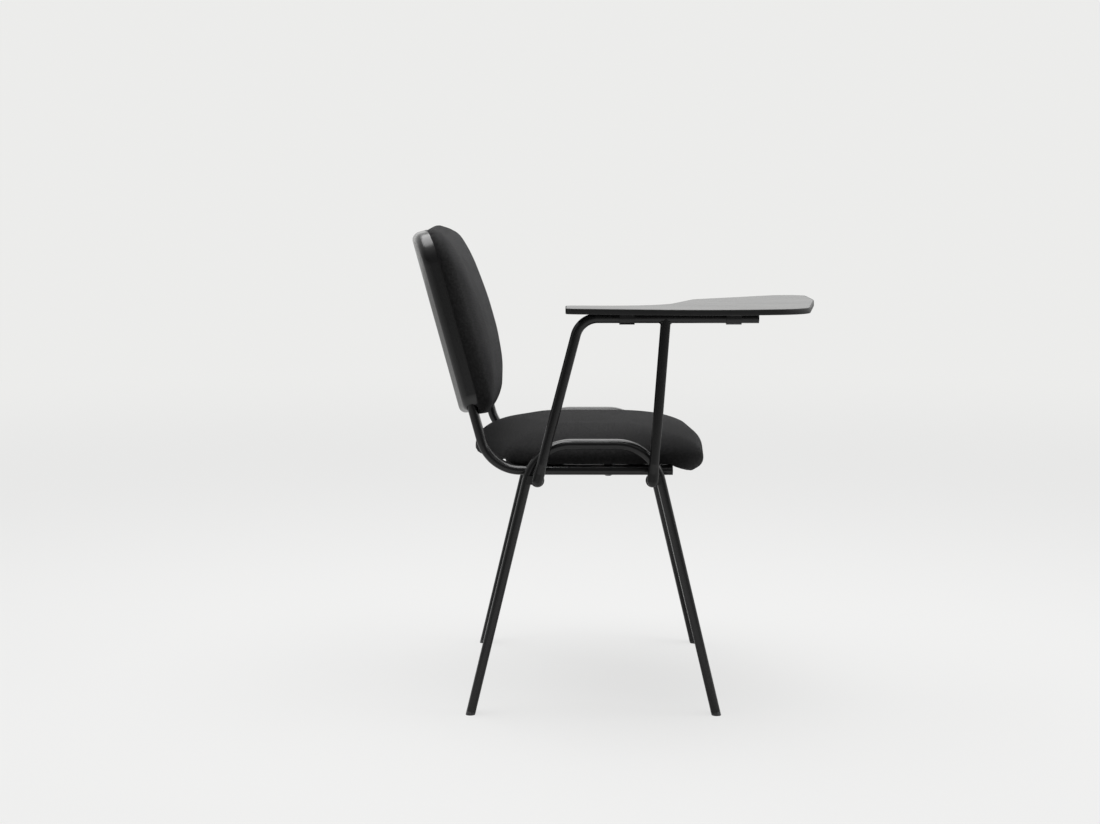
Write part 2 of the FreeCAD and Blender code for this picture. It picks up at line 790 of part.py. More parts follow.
def back_plan(top="0", side="0", foot="0", scale="1"):
    """Corners of the back's outline, seen from the front, drawn in at its top, sides and foot."""
    half = f"(back_half - {side})"
    corners = [
        ("0", f"back_top - {top}", f"{scale} * back_top_round"),
        (half, f"back_top - back_top_bow - {top}", f"{scale} * back_top_corner"),
        (half, f"back_foot + {foot}", f"{scale} * back_foot_corner"),
        ("0", f"back_foot - back_foot_bow + {foot}", f"{scale} * back_foot_round"),
    ]
    return corners + [(f"-{x}", y, r) for x, y, r in (corners[2], corners[1])]


def back_prism(name, corners):
    """A prism over an outline seen from the front, deep enough for the whole back."""
    drawing = doc.addObject("Sketcher::SketchObject", name + "Outline")
    add_outline(drawing, corners)
    drawing.Placement = Placement(Vector(num(BACK_REAR), 0, 0), FRONT_VIEW)
    bind(drawing, Placement__Base__x=BACK_REAR)
    return extrude(name, drawing, BACK_DEEP, X_AXIS)


def curve(name, radius):
    """The round bar whose side is one of the back's curved faces."""
    return cylinder(name, radius, "2 * back_top", CURVE_X, "0", "-back_top / 2")


def layer(name, outer, inner):
    """The curved layer between two radii."""
    return cut(name, curve(name + "Outer", outer), curve(name + "Inner", inner))


BACK_BOLTS = [(f"{end_word}{word}", f"{side} * {BOLT_Y}", z)
              for end_word, z in (("Low", "back_bolt_low"), ("High", "back_bolt_high"))
              for word, side in SIDES]
SHELL_POSTS = [(f"{end_word}{word}", f"{side} * post_side", z)
               for end_word, z in (("Low", "post_low"), ("High", "post_high"))
               for word, side in SIDES]
# A tee nut's flange sits just below the lowest point of the curved board around it
FLANGE_Y = f"({BOLT_Y} - tee_flange)"
FLANGE_X = (f"({CURVE_X} - sqrt({BOARD_FRONT_CURVE} * {BOARD_FRONT_CURVE} - {FLANGE_Y} * {FLANGE_Y})"
            " - tee_flange_thick)")
BARREL_X = "(tube_thick / 2 + 2 * back_seat_gap)"

# Back board: curved plywood with holes for the tee nuts and for the shell's posts
board_inset = ("back_board_inset", "back_board_inset", "back_board_inset")
back_plate = common("BackPlate", back_prism("BackPlatePrism", back_plan(*board_inset)),
                    layer("BackPlateLayer", "back_curve", BOARD_FRONT_CURVE))
holes = []
for name, y, z in BACK_BOLTS:
    holes.append(along("BackBarrelHole" + name, "tee_barrel + tee_play", "3 * back_board_thick",
                       "0", y, z))
    holes.append(along("BackFlangeHole" + name, "tee_flange + tee_play", "2 * back_board_thick",
                       FLANGE_X, y, z))
for name, y, z in SHELL_POSTS:
    holes.append(along("BackPostHole" + name, "post_tip + bolt_play", BACK_DEEP, BACK_REAR, y, z))
node(place_back(cut("BackBoard", back_plate, fuse("BackBoardHoles", *holes))), "back_board")

# Bolts and tee nuts of the back
bolts = []
tees = []
for name, y, z in BACK_BOLTS:
    head = along("BackBoltHead" + name, "bolt_head_radius", "bolt_head",
                 "-tube_thick / 2 - bolt_head", y, z)
    shank = along("BackBoltShank" + name, "bolt_radius", f"{FLANGE_X} + tube_thick / 2",
                  "-tube_thick / 2", y, z)
    bolts.append(fuse("BackBolt" + name, head, shank))
    barrel = along("BackTeeBarrel" + name, "tee_barrel", f"{FLANGE_X} - {BARREL_X}", BARREL_X, y, z)
    flange = along("BackTeeFlange" + name, "tee_flange", "tee_flange_thick", FLANGE_X, y, z)
    thread = along("BackTeeThread" + name, "bolt_radius + thread_play", "3 * back_board_thick", "0", y, z)
    tees.append(cut("BackTee" + name, fuse("BackTeeWhole" + name, barrel, flange), thread))
node(place_back(group("BackBolts", *bolts)), "back_bolts")
node(place_back(group("BackTees", *tees)), "back_tee_nuts")

# Back shell: a moulded tray behind the board, open to the front, slotted for the two tubes


def round_rear(name, base, radius, rounding):
    """Round the edges of the curved rear face."""
    doc.recompute()
    bent = [face for face in base.Shape.Faces if isinstance(face.Surface, Part.Cylinder)]
    rear = min(bent, key=lambda face: abs(face.Surface.Radius - num(radius)))
    rounded = doc.addObject("Part::Fillet", name)
    rounded.Base = base
    size = num(rounding)
    rounded.Edges = [(i, size, size) for i, edge in enumerate(base.Shape.Edges, 1)
                     if any(edge.isSame(own) for own in rear.Edges)]
    return rounded


def shell_form(name, inset, radius, rounding):
    """The shell's outer or inner form."""
    corners = back_plan(f"(shell_drop + {inset})", f"(shell_inset + {inset})", f"(shell_lift + {inset})")
    form = common(name + "Raw", back_prism(name + "Prism", corners), curve(name + "Curve", radius))
    return round_rear(name, form, radius, rounding)


shell_outer = shell_form("ShellOuter", "0", SHELL_CURVE, "shell_round")
shell_inner = shell_form("ShellInner", "shell_wall", f"{SHELL_CURVE} - shell_wall",
                         "shell_round - shell_wall")
slots = []
for word, side in SIDES:
    slot = body("ShellSlot" + word)
    section = sketch_on(slot, f"ShellSlot{word}Section", "XY_Plane", "back_foot - back_foot_bow")
    add_oval(section, "tube_wide + 2 * shell_play", "tube_thick + 2 * shell_play", tall=True)
    pad(slot, section, "back_foot_bow + 2 * back_foot_corner")
    slots.append(place(slot, y=f"{side} * {TUBE_Y}"))
shell_front = curve("ShellFront", "back_curve + shell_gap")
tray = cut("ShellTray", shell_outer, fuse("ShellRoom", shell_inner, shell_front, *slots))
post_layer = layer("PostLayer", f"{SHELL_CURVE} - shell_wall / 2", "back_curve + shell_gap")
tip_layer = layer("TipLayer", "back_curve + 2 * shell_gap", f"{BOARD_FRONT_CURVE} + shell_play")
posts = []
for name, y, z in SHELL_POSTS:
    bar = along("PostBar" + name, "post_radius", BACK_DEEP, BACK_REAR, y, z)
    tip = along("TipBar" + name, "post_tip", BACK_DEEP, BACK_REAR, y, z)
    posts.append(common("Post" + name, bar, post_layer))
    posts.append(common("Tip" + name, tip, tip_layer))
node(place_back(fuse("BackShell", tray, *posts)), "back_shell")
doc.recompute()

# Back foam and its cover


def back_pillow(skin):
    """The back cushion's form, a skin's thickness inside its cover."""
    edge = num("back_edge")
    depths = [num("back_roll_" + part) for part in ("top", "side", "foot")]
    levels = cushion_levels(edge, -2 * edge, num("back_tuck"),
                            num("back_crown") - edge - skin, depths, skin)
    form = pillow(back_plan, "back_half", levels)
    form.Placement = Placement(Vector(), FRONT_VIEW)
    return form


cushion_room = curve("CushionRoom", "back_curve")
doc.recompute()
back_core = back_pillow(num("cover_thick")).common(cushion_room.Shape)
back_skin = back_pillow(0).common(cushion_room.Shape).cut(back_core)
node(place_back(solid("BackFoam", back_core.cut(back_plate.Shape))), "back_foam")
node(place_back(solid("BackCover", back_skin)), "back_cover")

# Arm: two posts with flattened lower ends and a rail, all of one round tube.
# Where the tube's round is parted to meet the paddle's edges, in degrees from straight out
TAPER_ANGLES = (30, 80, 135, 225, 280, 330, 390)


def flat_end(name):
    """A post's pressed lower end about the stud's centre: a round-edged paddle and its taper."""
    radius, half, rim = num("arm_tube / 2"), num("paddle_radius"), num("paddle_round")
    neck, top = num("paddle_neck"), num(POST_START)
    outer = radius - num("paddle_thick")
    left, right = Vector(-half, outer, 0), Vector(half, outer, 0)
    rise = Vector(0, 0, neck)
    sides = [Part.makeLine(right + rise, right), Part.makeLine(left, left + rise)]
    tip = Part.Arc(right, Vector(0, outer, -half), left).toShape()
    head = Part.makeLine(left + rise, right + rise)
    face = Part.Face(Part.Wire([sides[0], tip, sides[1], head]))
    blank = face.extrude(Vector(0, num("paddle_thick"), 0))
    front = min(blank.Faces, key=lambda plane: plane.CenterOfMass.y)
    edges = [edge for edge in front.Edges if edge.CenterOfMass.z < neck - rim / 2]
    paddle = solid(name + "Paddle", blank.makeFillet(rim, edges))

    # The taper runs from the paddle's upper face to the round tube, edge by edge
    def at(angle):
        """Point of the tube's outside at its lower end, its angle from straight out."""
        turn = math.radians(angle)
        return Vector(radius * math.sin(turn), -radius * math.cos(turn), top)

    def corner(side):
        """The paddle's rounded outer edge at its neck, from the outer face to the side."""
        middle = rim * (1 - math.sqrt(0.5))
        return [Vector(side * x, outer + y, neck)
                for x, y in ((half - rim, 0), (half - middle, middle), (half, rim))]

    near, far = corner(1), corner(-1)[::-1]
    inner = [Vector(half, radius, neck), Vector(-half, radius, neck)]
    round_edges = [Part.Arc(*points).toShape() for points in (near, far)]
    lower = Part.Wire([round_edges[0], Part.makeLine(near[2], inner[0]), Part.makeLine(*inner),
                       Part.makeLine(inner[1], far[0]), round_edges[1], Part.makeLine(far[2], near[0])])
    upper = Part.Wire([Part.Arc(at(first), at((first + last) / 2), at(last)).toShape()
                       for first, last in zip(TAPER_ANGLES, TAPER_ANGLES[1:])])
    taper = solid(name + "Taper", Part.makeLoft([lower, upper], True, True))
    return fuse(name, taper, paddle)


rail_tube = body("RailTube")
path = sketch_on(rail_tube, "RailPath", "XZ_Plane")
foot_x = f"{POST_START} * sin(rear_post_lean) - rear_post_foot"
foot_z = f"{POST_START} * cos(rear_post_lean) + paddle_height"
add_outline(path, [("rail_front", "rail_height", ""), (REAR_TOP_X, "rail_height", "arm_bend"),
                   (foot_x, foot_z, "")], closed=False)
section = sketch_on(rail_tube, "RailSection", "YZ_Plane", "rail_front")
add_circle(section, "arm_tube / 2", "rail_height")
add_circle(section, "arm_tube / 2 - arm_wall", "rail_height")
pipe(rail_tube, section, path)
place(rail_tube, y=ARM_Y)
rear_end = place(flat_end("RearEnd"), "-rear_post_foot", ARM_Y, "paddle_height", Y_AXIS, "rear_post_lean")
node(fuse("ArmRail", rail_tube, rear_end), "arm_rail_tube")

post_tube = body("PostTube")
section = sketch_on(post_tube, "PostSection", "XY_Plane", POST_START)
add_circle(section, "arm_tube / 2")
add_circle(section, "arm_tube / 2 - arm_wall")
pad(post_tube, section, f"(rail_height - paddle_height) / cos(front_post_lean) - {POST_START}")
front_post = fuse("FrontPostWhole", post_tube, flat_end("FrontEnd"))
place(front_post, "front_post_foot", ARM_Y, "paddle_height", Y_AXIS, "front_post_lean")
rail_form = along("RailForm", "arm_tube / 2", f"rail_front - {REAR_TOP_X}",
                  REAR_TOP_X, ARM_Y, "rail_height")
node(cut("FrontPost", front_post, rail_form), "arm_front_post")

lip = along("RailPlugLip", "arm_tube / 2", "plug_lip", "rail_front", ARM_Y, "rail_height")
stem = along("RailPlugStem", "arm_tube / 2 - arm_wall - plug_play", "plug_depth",
             "rail_front - plug_depth", ARM_Y, "rail_height")
node(fuse("RailPlug", lip, stem), "arm_rail_plug")

# Lugs welded to the leg, and the stud, washer and nut that hold each paddle to its lug
WASHER_Y = f"({LUG_FACE_Y} + lug_thick)"
NUT_Y = f"({WASHER_Y} + washer_thick)"
studs = []
washers = []
nuts = []
for word, end in ENDS:
    foot = word + "_post_foot"
    x = f"{end} * {foot}"
    start = foot if word == "front" else f"-{LEG_AT_LUG_X}"
    disc = across(f"Lug{word}Disc", "lug_radius", "lug_thick", x, LUG_FACE_Y, "paddle_height")
    bridge = block(f"Lug{word}Bridge", f"{LEG_AT_LUG_X} - {foot}", "lug_thick", "lug_bridge",
                   start, LUG_FACE_Y, "paddle_height - lug_bridge / 2")
    hole = across(f"Lug{word}Hole", "stud_radius + bolt_play", "lug_thick", x, LUG_FACE_Y, "paddle_height")
    tools = fuse(f"Lug{word}Tools", leg_forms["right"], hole)
    node(cut(f"Lug{word}", fuse(f"Lug{word}Whole", disc, bridge), tools), "arm_lug_" + word)
    studs.append(across(f"Stud{word}", "stud_radius", "lug_thick + washer_thick + nut_thick + stud_end",
                        x, LUG_FACE_Y, "paddle_height"))
    ring = across(f"Washer{word}Ring", "washer_radius", "washer_thick", x, WASHER_Y, "paddle_height")
    hole = across(f"Washer{word}Hole", "stud_radius + bolt_play", "washer_thick",
                  x, WASHER_Y, "paddle_height")
    washers.append(cut(f"Washer{word}", ring, hole))
    hexagon = doc.addObject("Part::Prism", f"Nut{word}Hex")
    bind(hexagon, Circumradius="nut_flats / 2 / cos(30)", Height="nut_thick")
    place(hexagon, x, NUT_Y, "paddle_height", X_AXIS, "-90")
    hole = across(f"Nut{word}Hole", "stud_radius + thread_play", "nut_thick", x, NUT_Y, "paddle_height")
    nuts.append(cut(f"Nut{word}", hexagon, hole))
node(group("ArmStuds", *studs), "arm_studs")
node(group("ArmWashers", *washers), "arm_washers")
node(group("ArmNuts", *nuts), "arm_nuts")

# Rest bars welded to the inner side of the rail, on which the lowered tablet lies
for word, x in (("front", "rest_front"), ("rear", "rest_rear")):
    bar = block(f"Rest{word}Bar", "rest_long", "rest_wide", "rest_thick", f"{x} - rest_long / 2",
                f"{ARM_Y} + rest_inset", f"{TABLET_UNDER} - rest_gap - rest_thick")
    node(cut(f"Rest{word}", bar, rail_form), "tablet_rest_" + word)

# Tablet: a board with an edge band, seen from above with y measured from the rail's axis
TABLET_CORNERS = [
    ("-tablet_rear", "-tablet_rear_outer", "tablet_rear_corner"),
    ("tablet_bulge_ahead", "-tablet_bulge", "tablet_bulge_round"),
    ("tablet_front", "-tablet_front_outer", "tablet_front_corner"),
    ("tablet_nose_ahead", "tablet_nose", "tablet_nose_round"),
    ("tablet_tip_ahead", "tablet_tip", "tablet_tip_round"),
    ("tablet_far_ahead", "tablet_far", "tablet_far_round"),
    ("tablet_shoulder_ahead", "tablet_shoulder", "tablet_shoulder_round"),
    ("tablet_waist_ahead", "tablet_waist", "tablet_waist_round"),
    ("-tablet_rear", "tablet_rear_inner", "tablet_rear_corner"),
]
tablet_outline = doc.addObject("Sketcher::SketchObject", "TabletOutline")
add_outline(tablet_outline, TABLET_CORNERS)
place(tablet_outline, y=ARM_Y, z=TABLET_UNDER)
core_outline = doc.addObject("Part::Offset2D", "CoreOutline")
core_outline.Source = tablet_outline
core_outline.Join = "Intersection"
bind(core_outline, Value="-band_thick")
tablet_core = extrude("TabletCore", core_outline, "tablet_thick", Z_AXIS)
tablet_whole = extrude("TabletWhole", tablet_outline, "tablet_thick", Z_AXIS)
node(cut("TabletBand", tablet_whole, tablet_core), "tablet_edge_band")

# Hinge saddles: straps bent round the rail, screwed to the tablet's underside
SADDLE_ROOM = "(arm_tube / 2 + saddle_play)"
SADDLE_OUT = f"({SADDLE_ROOM} + saddle_thick)"
SADDLE_RISE = "(arm_tube / 2 + tablet_gap)"
screws = []
pilots = []
for word, middle in (("front", "saddle_front"), ("rear", "saddle_rear")):
    name = "Saddle" + word
    x = f"{middle} - saddle_long / 2"
    strap = along(name + "Strap", SADDLE_OUT, "saddle_long", x, ARM_Y, "rail_height")
    cheeks = block(name + "Cheeks", "saddle_long", f"2 * {SADDLE_OUT}", SADDLE_RISE,
                   x, f"{ARM_Y} - {SADDLE_OUT}", "rail_height")
    flange = block(name + "Flange", "saddle_long", f"2 * ({SADDLE_OUT} + saddle_flange)", "saddle_thick",
                   x, f"{ARM_Y} - {SADDLE_OUT} - saddle_flange", f"{TABLET_UNDER} - saddle_thick")
    room = along(name + "Room", SADDLE_ROOM, "saddle_long", x, ARM_Y, "rail_height")
    gap = block(name + "Gap", "saddle_long", f"2 * {SADDLE_ROOM}", f"2 * {SADDLE_OUT}",
                x, f"{ARM_Y} - {SADDLE_ROOM}", "rail_height")
    above = block(name + "Above", "saddle_long", f"4 * {SADDLE_OUT}", f"2 * {SADDLE_OUT}", x,
                  f"{ARM_Y} - 2 * {SADDLE_OUT}", TABLET_UNDER)
    own_holes = []
    for end_word, end in ENDS:
        for side_word, side in SIDES:
            place_of = (f"{middle} + {end} * screw_step / 2",
                        f"{ARM_Y} + {side} * ({SADDLE_OUT} + saddle_flange / 2)")
            screw = f"{name}{end_word}{side_word}"
            head = cylinder(screw + "Head", "screw_head_radius", "screw_head", *place_of,
                            f"{TABLET_UNDER} - saddle_thick - screw_head")
            shank = cylinder(screw + "Shank", "screw_radius", "saddle_thick + screw_bite", *place_of,
                             f"{TABLET_UNDER} - saddle_thick")
            screws.append(fuse(screw, head, shank))
            own_holes.append(cylinder(screw + "Hole", "screw_radius + thread_play", "saddle_thick",
                                      *place_of, f"{TABLET_UNDER} - saddle_thick"))
            pilots.append(cylinder(screw + "Pilot", "screw_radius", "screw_bite", *place_of, TABLET_UNDER))
    whole = fuse(name + "Whole", strap, cheeks, flange)
    tools = fuse(name + "Tools", room, gap, above, *own_holes)
    node(cut(name + "Bent", whole, tools), "hinge_saddle_" + word)
node(cut("TabletBoard", tablet_core, fuse("TabletPilots", *pilots)), "tablet_board")
node(group("SaddleScrews", *screws), "saddle_screws")

doc.recompute()
for thing in doc.Objects:
    if "Invalid" in thing.State or "Error" in thing.State:
        raise RuntimeError(f"{thing.Name} failed: {thing.State}")
for thing in nodes:
    if thing.Shape.isNull() or not thing.Shape.isValid():
        raise RuntimeError(f"{thing.Label} has no valid shape")

os.makedirs("parts", exist_ok=True)
for thing in nodes:
    thing.Shape.exportStep(f"parts/{thing.Label}.step")
    print(thing.Label, len(thing.Shape.Solids), round(thing.Shape.Volume))
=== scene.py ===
"""Tablet arm chair: finishes, cushions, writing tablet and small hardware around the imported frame."""

import json
import logging
import math
from dataclasses import dataclass
from enum import Enum
from typing import Callable, Iterable

import bmesh
import bpy
from mathutils import Matrix, Vector
from mathutils.bvhtree import BVHTree

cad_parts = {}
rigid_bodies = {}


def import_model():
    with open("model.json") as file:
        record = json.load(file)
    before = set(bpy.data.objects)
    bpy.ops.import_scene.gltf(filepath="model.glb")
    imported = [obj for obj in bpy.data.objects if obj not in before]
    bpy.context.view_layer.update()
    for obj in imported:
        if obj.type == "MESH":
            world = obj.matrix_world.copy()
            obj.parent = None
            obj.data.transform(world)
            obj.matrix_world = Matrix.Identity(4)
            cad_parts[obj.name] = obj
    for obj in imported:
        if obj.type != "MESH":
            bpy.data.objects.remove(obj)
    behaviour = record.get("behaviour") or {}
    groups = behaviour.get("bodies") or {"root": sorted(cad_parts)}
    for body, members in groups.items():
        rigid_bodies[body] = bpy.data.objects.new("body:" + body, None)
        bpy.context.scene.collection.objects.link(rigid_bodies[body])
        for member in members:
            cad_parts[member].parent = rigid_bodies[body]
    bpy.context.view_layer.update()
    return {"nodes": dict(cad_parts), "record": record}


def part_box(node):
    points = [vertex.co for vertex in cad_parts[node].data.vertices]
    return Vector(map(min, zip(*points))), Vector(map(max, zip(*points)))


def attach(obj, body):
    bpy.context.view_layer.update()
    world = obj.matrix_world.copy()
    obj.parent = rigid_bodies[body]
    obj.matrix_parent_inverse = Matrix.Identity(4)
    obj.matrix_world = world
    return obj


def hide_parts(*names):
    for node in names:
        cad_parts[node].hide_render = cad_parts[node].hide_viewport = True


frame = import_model()

LOG = logging.getLogger("tablet_arm_chair")
MM = 0.001
FULL_TURN = 360.0
# Scale of a wave texture with waves one metre long
WAVE = math.pi / 10
# Input sockets of a float mix: its factor and its two values
FLOAT_MIX = (0, 2, 3)
# Points of a CAD mesh that lie this near are one point
MERGE = 0.01 * MM
# Faces that meet at a smaller angle make one flat face
FLAT = math.radians(0.5)
# A face looks along an axis when its normal has at least this share of it
FACING = 0.9
# Largest rise of an edge that runs level
LEVEL = 0.1 * MM
# Mean length of a saddle-shaped seam against the circle of its tube
SADDLE = math.sqrt(1.5)

Colour = tuple[float, float, float]
Point = tuple[float, float, float]
Span = tuple[float, float]
Tones = tuple[Span, ...]
Object = bpy.types.Object
Node = bpy.types.Node
Material = bpy.types.Material
Socket = tuple[Node, str]
Pattern = tuple[Socket, Socket, Socket]


class Body(Enum):
    """Bodies of the chair that a piece can ride on."""

    CHAIR = "chair"
    TABLET = "tablet"


class Slot(Enum):
    """Material slots of the chair's record."""

    FRAME = "frame"
    GLIDE = "glide"
    CAP = "cap"
    PLYWOOD = "plywood"
    FOAM = "foam"
    COVER = "cover"
    CLOTH = "cloth"
    SHELL = "shell"
    ZINC = "zinc"
    SCREW = "screw"
    TABLET = "tablet"
    BAND = "band"


class End(Enum):
    """Ends of a cushion that stands up."""

    TOP = "top"
    FOOT = "foot"


class NodeSheet:
    """An empty node tree, with short calls that add and join its nodes."""

    def __init__(self, owner: Material | bpy.types.World) -> None:
        """Empty the owner's node tree.

        Args:
            owner: Material or world that the tree belongs to.
        """
        owner.use_nodes = True
        self.tree = owner.node_tree
        self.tree.nodes.clear()

    def add(self, kind: str, inputs: dict | None = None, **settings: object) -> Node:
        """Add one node.

        Args:
            kind: Blender's type name of the node.
            inputs: Values of its sockets, by socket name.
            settings: Values of the node's own properties.

        Returns:
            The new node.
        """
        node = self.tree.nodes.new(kind)
        for key, value in settings.items():
            setattr(node, key, value)
        for socket, value in (inputs or {}).items():
            node.inputs[socket].default_value = value
        return node

    def join(self, source: Node, out: str, target: Node, into: str | int) -> None:
        """Link one node's output socket to another node's input socket."""
        self.tree.links.new(source.outputs[out], target.inputs[into])

    def reckon(self, operation: str, *terms: Socket | float) -> Socket:
        """Math on sockets or plain numbers.

        Args:
            operation: Blender's name of the operation.
            terms: An output socket or a number for each input.

        Returns:
            The result.
        """
        node = self.add("ShaderNodeMath", operation=operation)
        for index, term in enumerate(terms):
            if isinstance(term, tuple):
                self.join(*term, node, index)
            else:
                node.inputs[index].default_value = term
        return node, "Value"

    def rays(self) -> tuple[Socket, Socket]:
        """Tell rays apart by where they come from.

        Returns:
            Whether a ray comes from the camera, and whether it comes off gloss or through glass.
        """
        ways = self.add("ShaderNodeLightPath")
        mirrored = self.reckon("MAXIMUM", (ways, "Is Glossy Ray"), (ways, "Is Transmission Ray"))
        return (ways, "Is Camera Ray"), mirrored


class ShaderSheet(NodeSheet):
    """Node tree of one finish."""

    def __init__(self, name: str) -> None:
        """Start a tree with one surface shader.

        Args:
            name: Name of the material.
        """
        self.material = bpy.data.materials.new(name)
        super().__init__(self.material)
        self.surface = self.add("ShaderNodeBsdfPrincipled")
        self.output = self.add("ShaderNodeOutputMaterial")
        self.join(self.surface, "BSDF", self.output, "Surface")

    def put(self, values: dict[str, object]) -> None:
        """Set sockets of the surface shader by name."""
        for socket, value in values.items():
            self.surface.inputs[socket].default_value = value

    def coordinates(self, stretch: Point = (1.0, 1.0, 1.0), turn: Point = (0.0, 0.0, 0.0),
                    space: str = "Object") -> Node:
        """Mapped coordinates of the piece.

        Args:
            stretch: Scale along each axis.
            turn: Turn about each axis in degrees.
            space: Output of the coordinate node to read.

        Returns:
            The mapping node.
        """
        source = self.add("ShaderNodeTexCoord")
        mapping = self.add("ShaderNodeMapping", {
            "Scale": stretch, "Rotation": tuple(math.radians(angle) for angle in turn)})
        self.join(source, space, mapping, "Vector")
        return mapping

    def texture(self, kind: str, place: Node, inputs: dict, **settings: object) -> Node:
        """Texture on mapped coordinates.

        Args:
            kind: Blender's type name of the texture.
            place: The mapping node.
            inputs: Values of its sockets, by socket name.
            settings: Values of the node's own properties.

        Returns:
            The texture node.
        """
        node = self.add(kind, inputs, **settings)
        self.join(place, "Vector", node, "Vector")
        return node

    def spread(self, source: Socket, low: float, high: float) -> Socket:
        """Map a value from 0 to 1 onto a range of its own.

        Args:
            source: The value.
            low: What 0 becomes.
            high: What 1 becomes.

        Returns:
            The mapped value.
        """
        node = self.add("ShaderNodeMapRange", {"To Min": low, "To Max": high})
        self.join(*source, node, "Value")
        return node, "Result"

    def shades(self, source: Socket, stops: Iterable[tuple[float, Colour]]) -> Socket:
        """Colour ramp over a value.

        Args:
            source: The value.
            stops: Position and colour of each stop, lowest first.

        Returns:
            The colour.
        """
        ramp = self.add("ShaderNodeValToRGB")
        elements = ramp.color_ramp.elements
        for index, (position, colour) in enumerate(stops):
            stop = elements[index] if index < len(elements) else elements.new(position)
            stop.position = position
            stop.color = (*colour, 1.0)
        self.join(*source, ramp, "Fac")
        return ramp, "Color"

    def relief(self, source: Socket, depth: float, strength: float = 1.0,
               under: Socket | None = None) -> Socket:
        """Bump of a real depth.

        Args:
            source: Height from 0 to 1.
            depth: Depth in metres.
            strength: Share of the bump that shows.
            under: Another bump that this one lies on.

        Returns:
            The bumped normal.
        """
        bump = self.add("ShaderNodeBump", {"Strength": strength, "Distance": depth})
        self.join(*source, bump, "Height")
        if under is not None:
            self.join(*under, bump, "Normal")
        return bump, "Normal"


def ease(share: float) -> float:
    """Smooth step from 0 to 1 as a share goes from 0 to 1, flat outside them."""
    share = min(1.0, max(0.0, share))
    return share * share * (3.0 - 2.0 * share)


@dataclass(frozen=True)
class Noise:
    """Noise on the piece's own coordinates, stretched along and turned about each axis."""

    scale: float
    detail: float = 2.0
    rough: float = 0.5
    stretch: Point = (1.0, 1.0, 1.0)
    turn: Point = (0.0, 0.0, 0.0)

    def lay(self, sheet: ShaderSheet) -> Socket:
        """Lay the noise out and give its value."""
        inputs = {"Scale": self.scale, "Detail": self.detail, "Roughness": self.rough}
        return sheet.texture("ShaderNodeTexNoise", sheet.coordinates(self.stretch, self.turn), inputs), "Fac"


@dataclass(frozen=True)
class Cells:
    """Round cells on the piece's own coordinates."""

    scale: float
    randomness: float = 1.0

    def lay(self, sheet: ShaderSheet) -> Socket:
        """Lay the cells out and give the distance from their middles."""
        inputs = {"Scale": self.scale, "Randomness": self.randomness}
        return sheet.texture("ShaderNodeTexVoronoi", sheet.coordinates(), inputs), "Distance"


@dataclass(frozen=True)
class Finish:
    """A finish with clouds in its colour and roughness, and a fine texture as its relief.

    Each tone is a value of the clouds and the share of the colour that is seen there.
    """

    name: str
    colour: Colour
    rough: Span
    tones: Tones
    clouds: Noise | Cells
    fine: Noise | Cells
    depth: float
    metallic: float = 0.0
    refraction: float = 1.5

    def pattern(self, sheet: ShaderSheet) -> Pattern:
        """Lay out the clouds and the fine texture.

        Args:
            sheet: Node tree of the finish.

        Returns:
            The values that vary the colour and the roughness, and the bumped normal.
        """
        clouds = self.clouds.lay(sheet)
        return clouds, clouds, sheet.relief(self.fine.lay(sheet), self.depth)

    def material(self) -> Material:
        """Make the finish.

        Returns:
            The finish as a material.
        """
        sheet = ShaderSheet(self.name)
        sheet.put({"Metallic": self.metallic, "IOR": self.refraction})
        tone, dullness, normal = self.pattern(sheet)
        stops = [(value, tuple(channel * share for channel in self.colour)) for value, share in self.tones]
        sheet.join(*sheet.shades(tone, stops), sheet.surface, "Base Color")
        sheet.join(*sheet.spread(dullness, *self.rough), sheet.surface, "Roughness")
        sheet.join(*normal, sheet.surface, "Normal")
        return sheet.material


@dataclass(frozen=True)
class PowderCoat(Finish):
    """Black satin powder coat on steel tube, with the fine peel that baking leaves."""

    name: str = "satin_powder_coat"
    colour: Colour = (0.0125, 0.0125, 0.013)
    rough: Span = (0.17, 0.26)
    tones: Tones = ((0.3, 0.85), (0.75, 1.25))
    clouds: Noise = Noise(9.0, 4.0, 0.6)
    fine: Noise = Noise(620.0, 1.0)
    depth: float = 0.06 * MM


@dataclass(frozen=True)
class MouldedPlastic(Finish):
    """Injection-moulded plastic with a fine spark-eroded grain."""

    tones: Tones = ((0.3, 0.85), (0.72, 1.2))
    clouds: Noise = Noise(7.0, 5.0, 0.65)
    fine: Cells = Cells(1300.0)
    depth: float = 0.07 * MM


@dataclass(frozen=True)
class Laminate(Finish):
    """Black pressed laminate of the writing surface, with the long smears of handling."""

    name: str = "black_laminate"
    colour: Colour = (0.016, 0.016, 0.017)
    rough: Span = (0.17, 0.25)
    tones: Tones = ((0.32, 0.9), (0.7, 1.15))
    clouds: Noise = Noise(6.5, 6.0, 0.6, stretch=(1.0, 2.6, 1.0), turn=(0.0, 0.0, 24.0))
    fine: Noise = Noise(900.0)
    depth: float = 0.03 * MM


@dataclass(frozen=True)
class ZincPlate(Finish):
    """Zinc plating, bright or blackened, with dull clouds from passivating and fine scratches."""

    name: str = "zinc_plate"
    colour: Colour = (0.56, 0.57, 0.58)
    rough: Span = (0.24, 0.46)
    tones: Tones = ((0.3, 0.75), (0.7, 1.0))
    clouds: Noise = Noise(130.0, 4.0, 0.65)
    fine: Noise = Noise(900.0, stretch=(1.0, 1.0, 9.0))
    depth: float = 0.02 * MM
    metallic: float = 1.0


